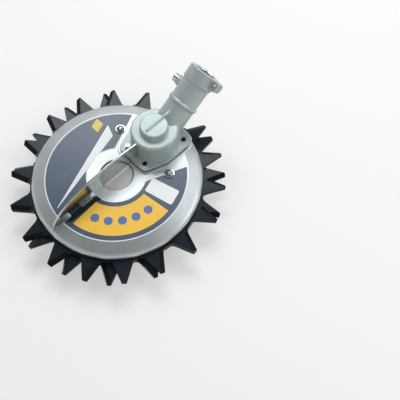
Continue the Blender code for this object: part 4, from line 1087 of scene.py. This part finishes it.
def dress_bore():
    """What shows down the pipe's bore: the drive end, the rear bearing and its clip."""
    shaft = turned("shaft", rounded(scaled(SHAFT), SHAFT_BENDS, 3, False))
    flat = slab("flat", [scaled(SHAFT_FLAT)], *SHAFT_FLAT_LEVELS)
    flats = [placed(flat.copy(), Matrix.Rotation(k * math.pi / 2, 4, "Z")) for k in range(4)]
    piece("drive_shaft", cut(shaft, *flats), "bearing_steel", "input_shaft", PIPE, body="input")
    races = turned("races", rounded(scaled(RACES), RING_EDGE, 2), 96, True)
    piece("rear_ball_race", races, "bearing_steel", "input_rear_bearing", PIPE)
    end = 2 * math.pi - CLIP_GAP
    outline = arc((0, 0), BEARING_RADIUS, CLIP_GAP, end, 80)
    outline += arc((0, 0), CLIP_INNER, end, CLIP_GAP, 80)
    clip = slab("clip", [rounded(outline, CLIP_CORNER, 2)], *CLIP_LEVELS, CLIP_EDGE)
    piece("snap_ring", clip, "bearing_steel", "bearing_circlip", PIPE)


def nearest_turn(turn):
    """An angle brought within half a turn of zero."""
    return (turn + math.pi) % (2 * math.pi) - math.pi


def lobe_points(middle, lean, margin):
    """One lobe's share of the rim: an arc, a hollow bend, the lobe, a hollow bend and an arc."""
    rim = PLATE_EDGE + margin
    bend = LOBE_BEND - margin
    half = math.pi / BOLT_COUNT
    centre = polar(LOBE_CIRCLE, middle)
    before, after = (polar(PLATE_EDGE + LOBE_BEND, middle + side * lean) for side in (-1, 1))
    meet = math.atan2(centre[1] - before[1], centre[0] - before[0])
    leave = math.atan2(centre[1] - after[1], centre[0] - after[0])
    start = middle - lean + math.pi
    end = middle + lean + math.pi
    crown = meet + math.pi
    round_lobe = 2 * ((middle - crown) % (2 * math.pi))
    points = arc((0, 0), rim, middle - half, middle - lean, 15)[:-1]
    points += arc(before, bend, start, start + nearest_turn(meet - start), 8)
    points += arc(centre, LOBE_RADIUS + margin, crown, crown + round_lobe, 16)[1:]
    points += arc(after, bend, end + nearest_turn(leave - end), end, 8)[1:]
    return points + arc((0, 0), rim, middle + lean, middle + half, 15)[1:-1]


def plate_row(radius, height):
    """A ring of the ground plate: round near its middle, and along the lobed rim further out."""
    margin = max(radius, PLATE_ROUND) - PLATE_EDGE
    reach = PLATE_EDGE + LOBE_BEND
    gap = LOBE_RADIUS + LOBE_BEND
    lean = math.acos((reach ** 2 + LOBE_CIRCLE ** 2 - gap ** 2) / (2 * reach * LOBE_CIRCLE))
    points = []
    for i in range(BOLT_COUNT):
        points += lobe_points(hub_angle(i + 0.5), lean, margin)
    if radius < PLATE_ROUND:
        points = [polar(radius, math.atan2(y, x)) for x, y in points]
    return [(x, y, height) for x, y in points]


def keyhole_outline():
    """A curved slot along the bolt circle, with a round eye at its middle."""
    middle = BOLT_CIRCLE
    eye = math.asin(KEYHOLE_JOIN / middle)
    outer = arc((0, 0), middle + KEYHOLE_HALF, eye, KEYHOLE_TURN, 6)
    far = arc(polar(middle, KEYHOLE_TURN), KEYHOLE_HALF, KEYHOLE_TURN, KEYHOLE_TURN + math.pi, 12)
    inner = arc((0, 0), middle - KEYHOLE_HALF, KEYHOLE_TURN, eye, 6)
    back = arc((middle, 0), EYE_RADIUS, *EYE_BACK, 12)
    lower = [(x, -y) for x, y in reversed(outer + far + inner)]
    front = arc((middle, 0), EYE_RADIUS, *EYE_FRONT, 12)
    return front + outer + far + inner + back + lower


def dress_plate():
    """The moulded ground plate: keyholed flange, glide ring, sloped wall and lobed rim."""
    line = rounded(scaled(PLATE_SECTION), PLATE_BENDS, 4)
    mesh = loft("plate", [plate_row(radius, height) for radius, height in line], True)
    slot = slab("slot", [keyhole_outline()], *KEYHOLE_LEVELS)
    turns = [hub_angle(i) - KEYHOLE_TURN for i in range(BOLT_COUNT)]
    mesh = cut(mesh, copies(slot, [Matrix.Rotation(turn, 4, "Z") for turn in turns]))
    piece("glide_plate", crisp(mesh), "black_plastic", "ground_plate", DISC, body="ground_plate")


def dress_plate_marks():
    """A pip on each lobe of the ground plate, and a moulding mark on the glide ring."""
    for i in range(BOLT_COUNT):
        spot = DISC @ Matrix.Translation((*polar(PLATE_EDGE, hub_angle(i + 0.5)), 0))
        pip = turned("pip", scaled(PIP), 40)
        piece("rim_pip_%d" % (i + 1), pip, "black_plastic", None, spot, body="ground_plate")
        spot = DISC @ Matrix.Translation((*polar(MARK_CIRCLE, hub_angle(i + 0.5)), 0))
        ring = turned("mark", rounded(scaled(MARK), MARK_EDGE, 2), 48, True)
        piece("glide_mark_%d" % (i + 1), ring, "black_plastic", None, spot, body="ground_plate")


def seen_directly(tree, share):
    """A share for the rays that show the floor itself: straight, in metal or through glass."""
    path = tree.nodes.new("ShaderNodeLightPath")
    total = path.outputs["Is Camera Ray"]
    for other in ("Is Glossy Ray", "Is Transmission Ray"):
        total = reckoned(tree, "MAXIMUM", total, path.outputs[other])
    return mapped(tree, total, (0, 1), (0, share))


def make_floor():
    """A pale floor far wider than the view, a little lighter to the eye than to the object."""
    shape = bmesh.new()
    bmesh.ops.create_grid(shape, x_segments=12, y_segments=12, size=FLOOR_HALF)
    floor = holder("floor", mesh_from(shape, "floor"), Matrix.Translation((0, 0, -FLOOR_DROP)))
    look = finish("floor_pale", *FLOOR_FINISH, patches=4, grain=200)
    tree = look.node_tree
    shader = tree.nodes["Principled BSDF"]
    shader.inputs["Emission Color"].default_value = (1, 1, 1, 1)
    tree.links.new(seen_directly(tree, FLOOR_LIFT), shader.inputs["Emission Strength"])
    floor.data.materials.append(look)


def make_world():
    """White walls under a dark ceiling, dimmer under the window."""
    world = bpy.data.worlds.new("studio")
    world.use_nodes = True
    tree = world.node_tree
    base = tree.nodes["Background"]
    base.inputs["Color"].default_value = (1, 1, 1, 1)
    place = tree.nodes.new("ShaderNodeTexCoord")
    parts = tree.nodes.new("ShaderNodeSeparateXYZ")
    tree.links.new(place.outputs["Generated"], parts.inputs["Vector"])
    side = tree.nodes.new("ShaderNodeVectorMath")
    side.operation = "DOT_PRODUCT"
    side.inputs[1].default_value = DIM_SIDE
    tree.links.new(place.outputs["Generated"], side.inputs[0])
    height = parts.outputs["Z"]
    walls = mapped(tree, height, CEILING_FADE, (WALL_LIGHT, CEILING_LIGHT), "SMOOTHSTEP")
    dim = mapped(tree, side.outputs["Value"], DIM_FADE, (1, DIM_SHARE), "SMOOTHSTEP")
    tree.links.new(reckoned(tree, "MULTIPLY", walls, dim), base.inputs["Strength"])
    bpy.context.scene.world = world


def make_lamp(name, place, size, power, colour):
    """A soft rectangular lamp that faces the object."""
    data = bpy.data.lights.new(name, "AREA")
    data.shape = "RECTANGLE"
    data.size, data.size_y = size
    data.energy = power
    data.color = colour
    lamp = bpy.data.objects.new(name, data)
    lamp.location = place
    heading = Vector(LAMP_TARGET) - Vector(place)
    lamp.rotation_euler = heading.to_track_quat("-Z", "Y").to_euler()
    bpy.context.scene.collection.objects.link(lamp)


def make_camera():
    """The photograph's viewing angle and lens."""
    data = bpy.data.cameras.new("camera")
    data.lens = CAMERA_LENS
    data.sensor_width = CAMERA_SENSOR
    data.clip_start = CAMERA_NEAR
    camera = bpy.data.objects.new("camera", data)
    forward = Vector(CAMERA_FORWARD).normalized()
    right = Vector(CAMERA_RIGHT).normalized()
    up = right.cross(forward)
    turn = Matrix((right, up, -forward)).transposed().to_4x4()
    camera.matrix_world = Matrix.Translation(CAMERA_PLACE) @ turn
    bpy.context.scene.collection.objects.link(camera)
    bpy.context.scene.camera = camera


def make_studio():
    """The floor, the room's light, the two windows and the camera."""
    make_floor()
    make_world()
    for name, values in LAMPS.items():
        make_lamp(name, **values)
    make_camera()
    bpy.context.scene.view_settings.view_transform = "Standard"


dress_frame()
for blade, values in BLADES.items():
    dress_blade(blade, *values)
dress_cover()
dress_pad()
dress_hub()
dress_label()
dress_fin()
dress_fin_tabs()
dress_case()
dress_pipe_screws()
dress_case_screws()
dress_cover_screws()
dress_hub_bolts()
dress_bore()
dress_plate()
dress_plate_marks()
make_studio()
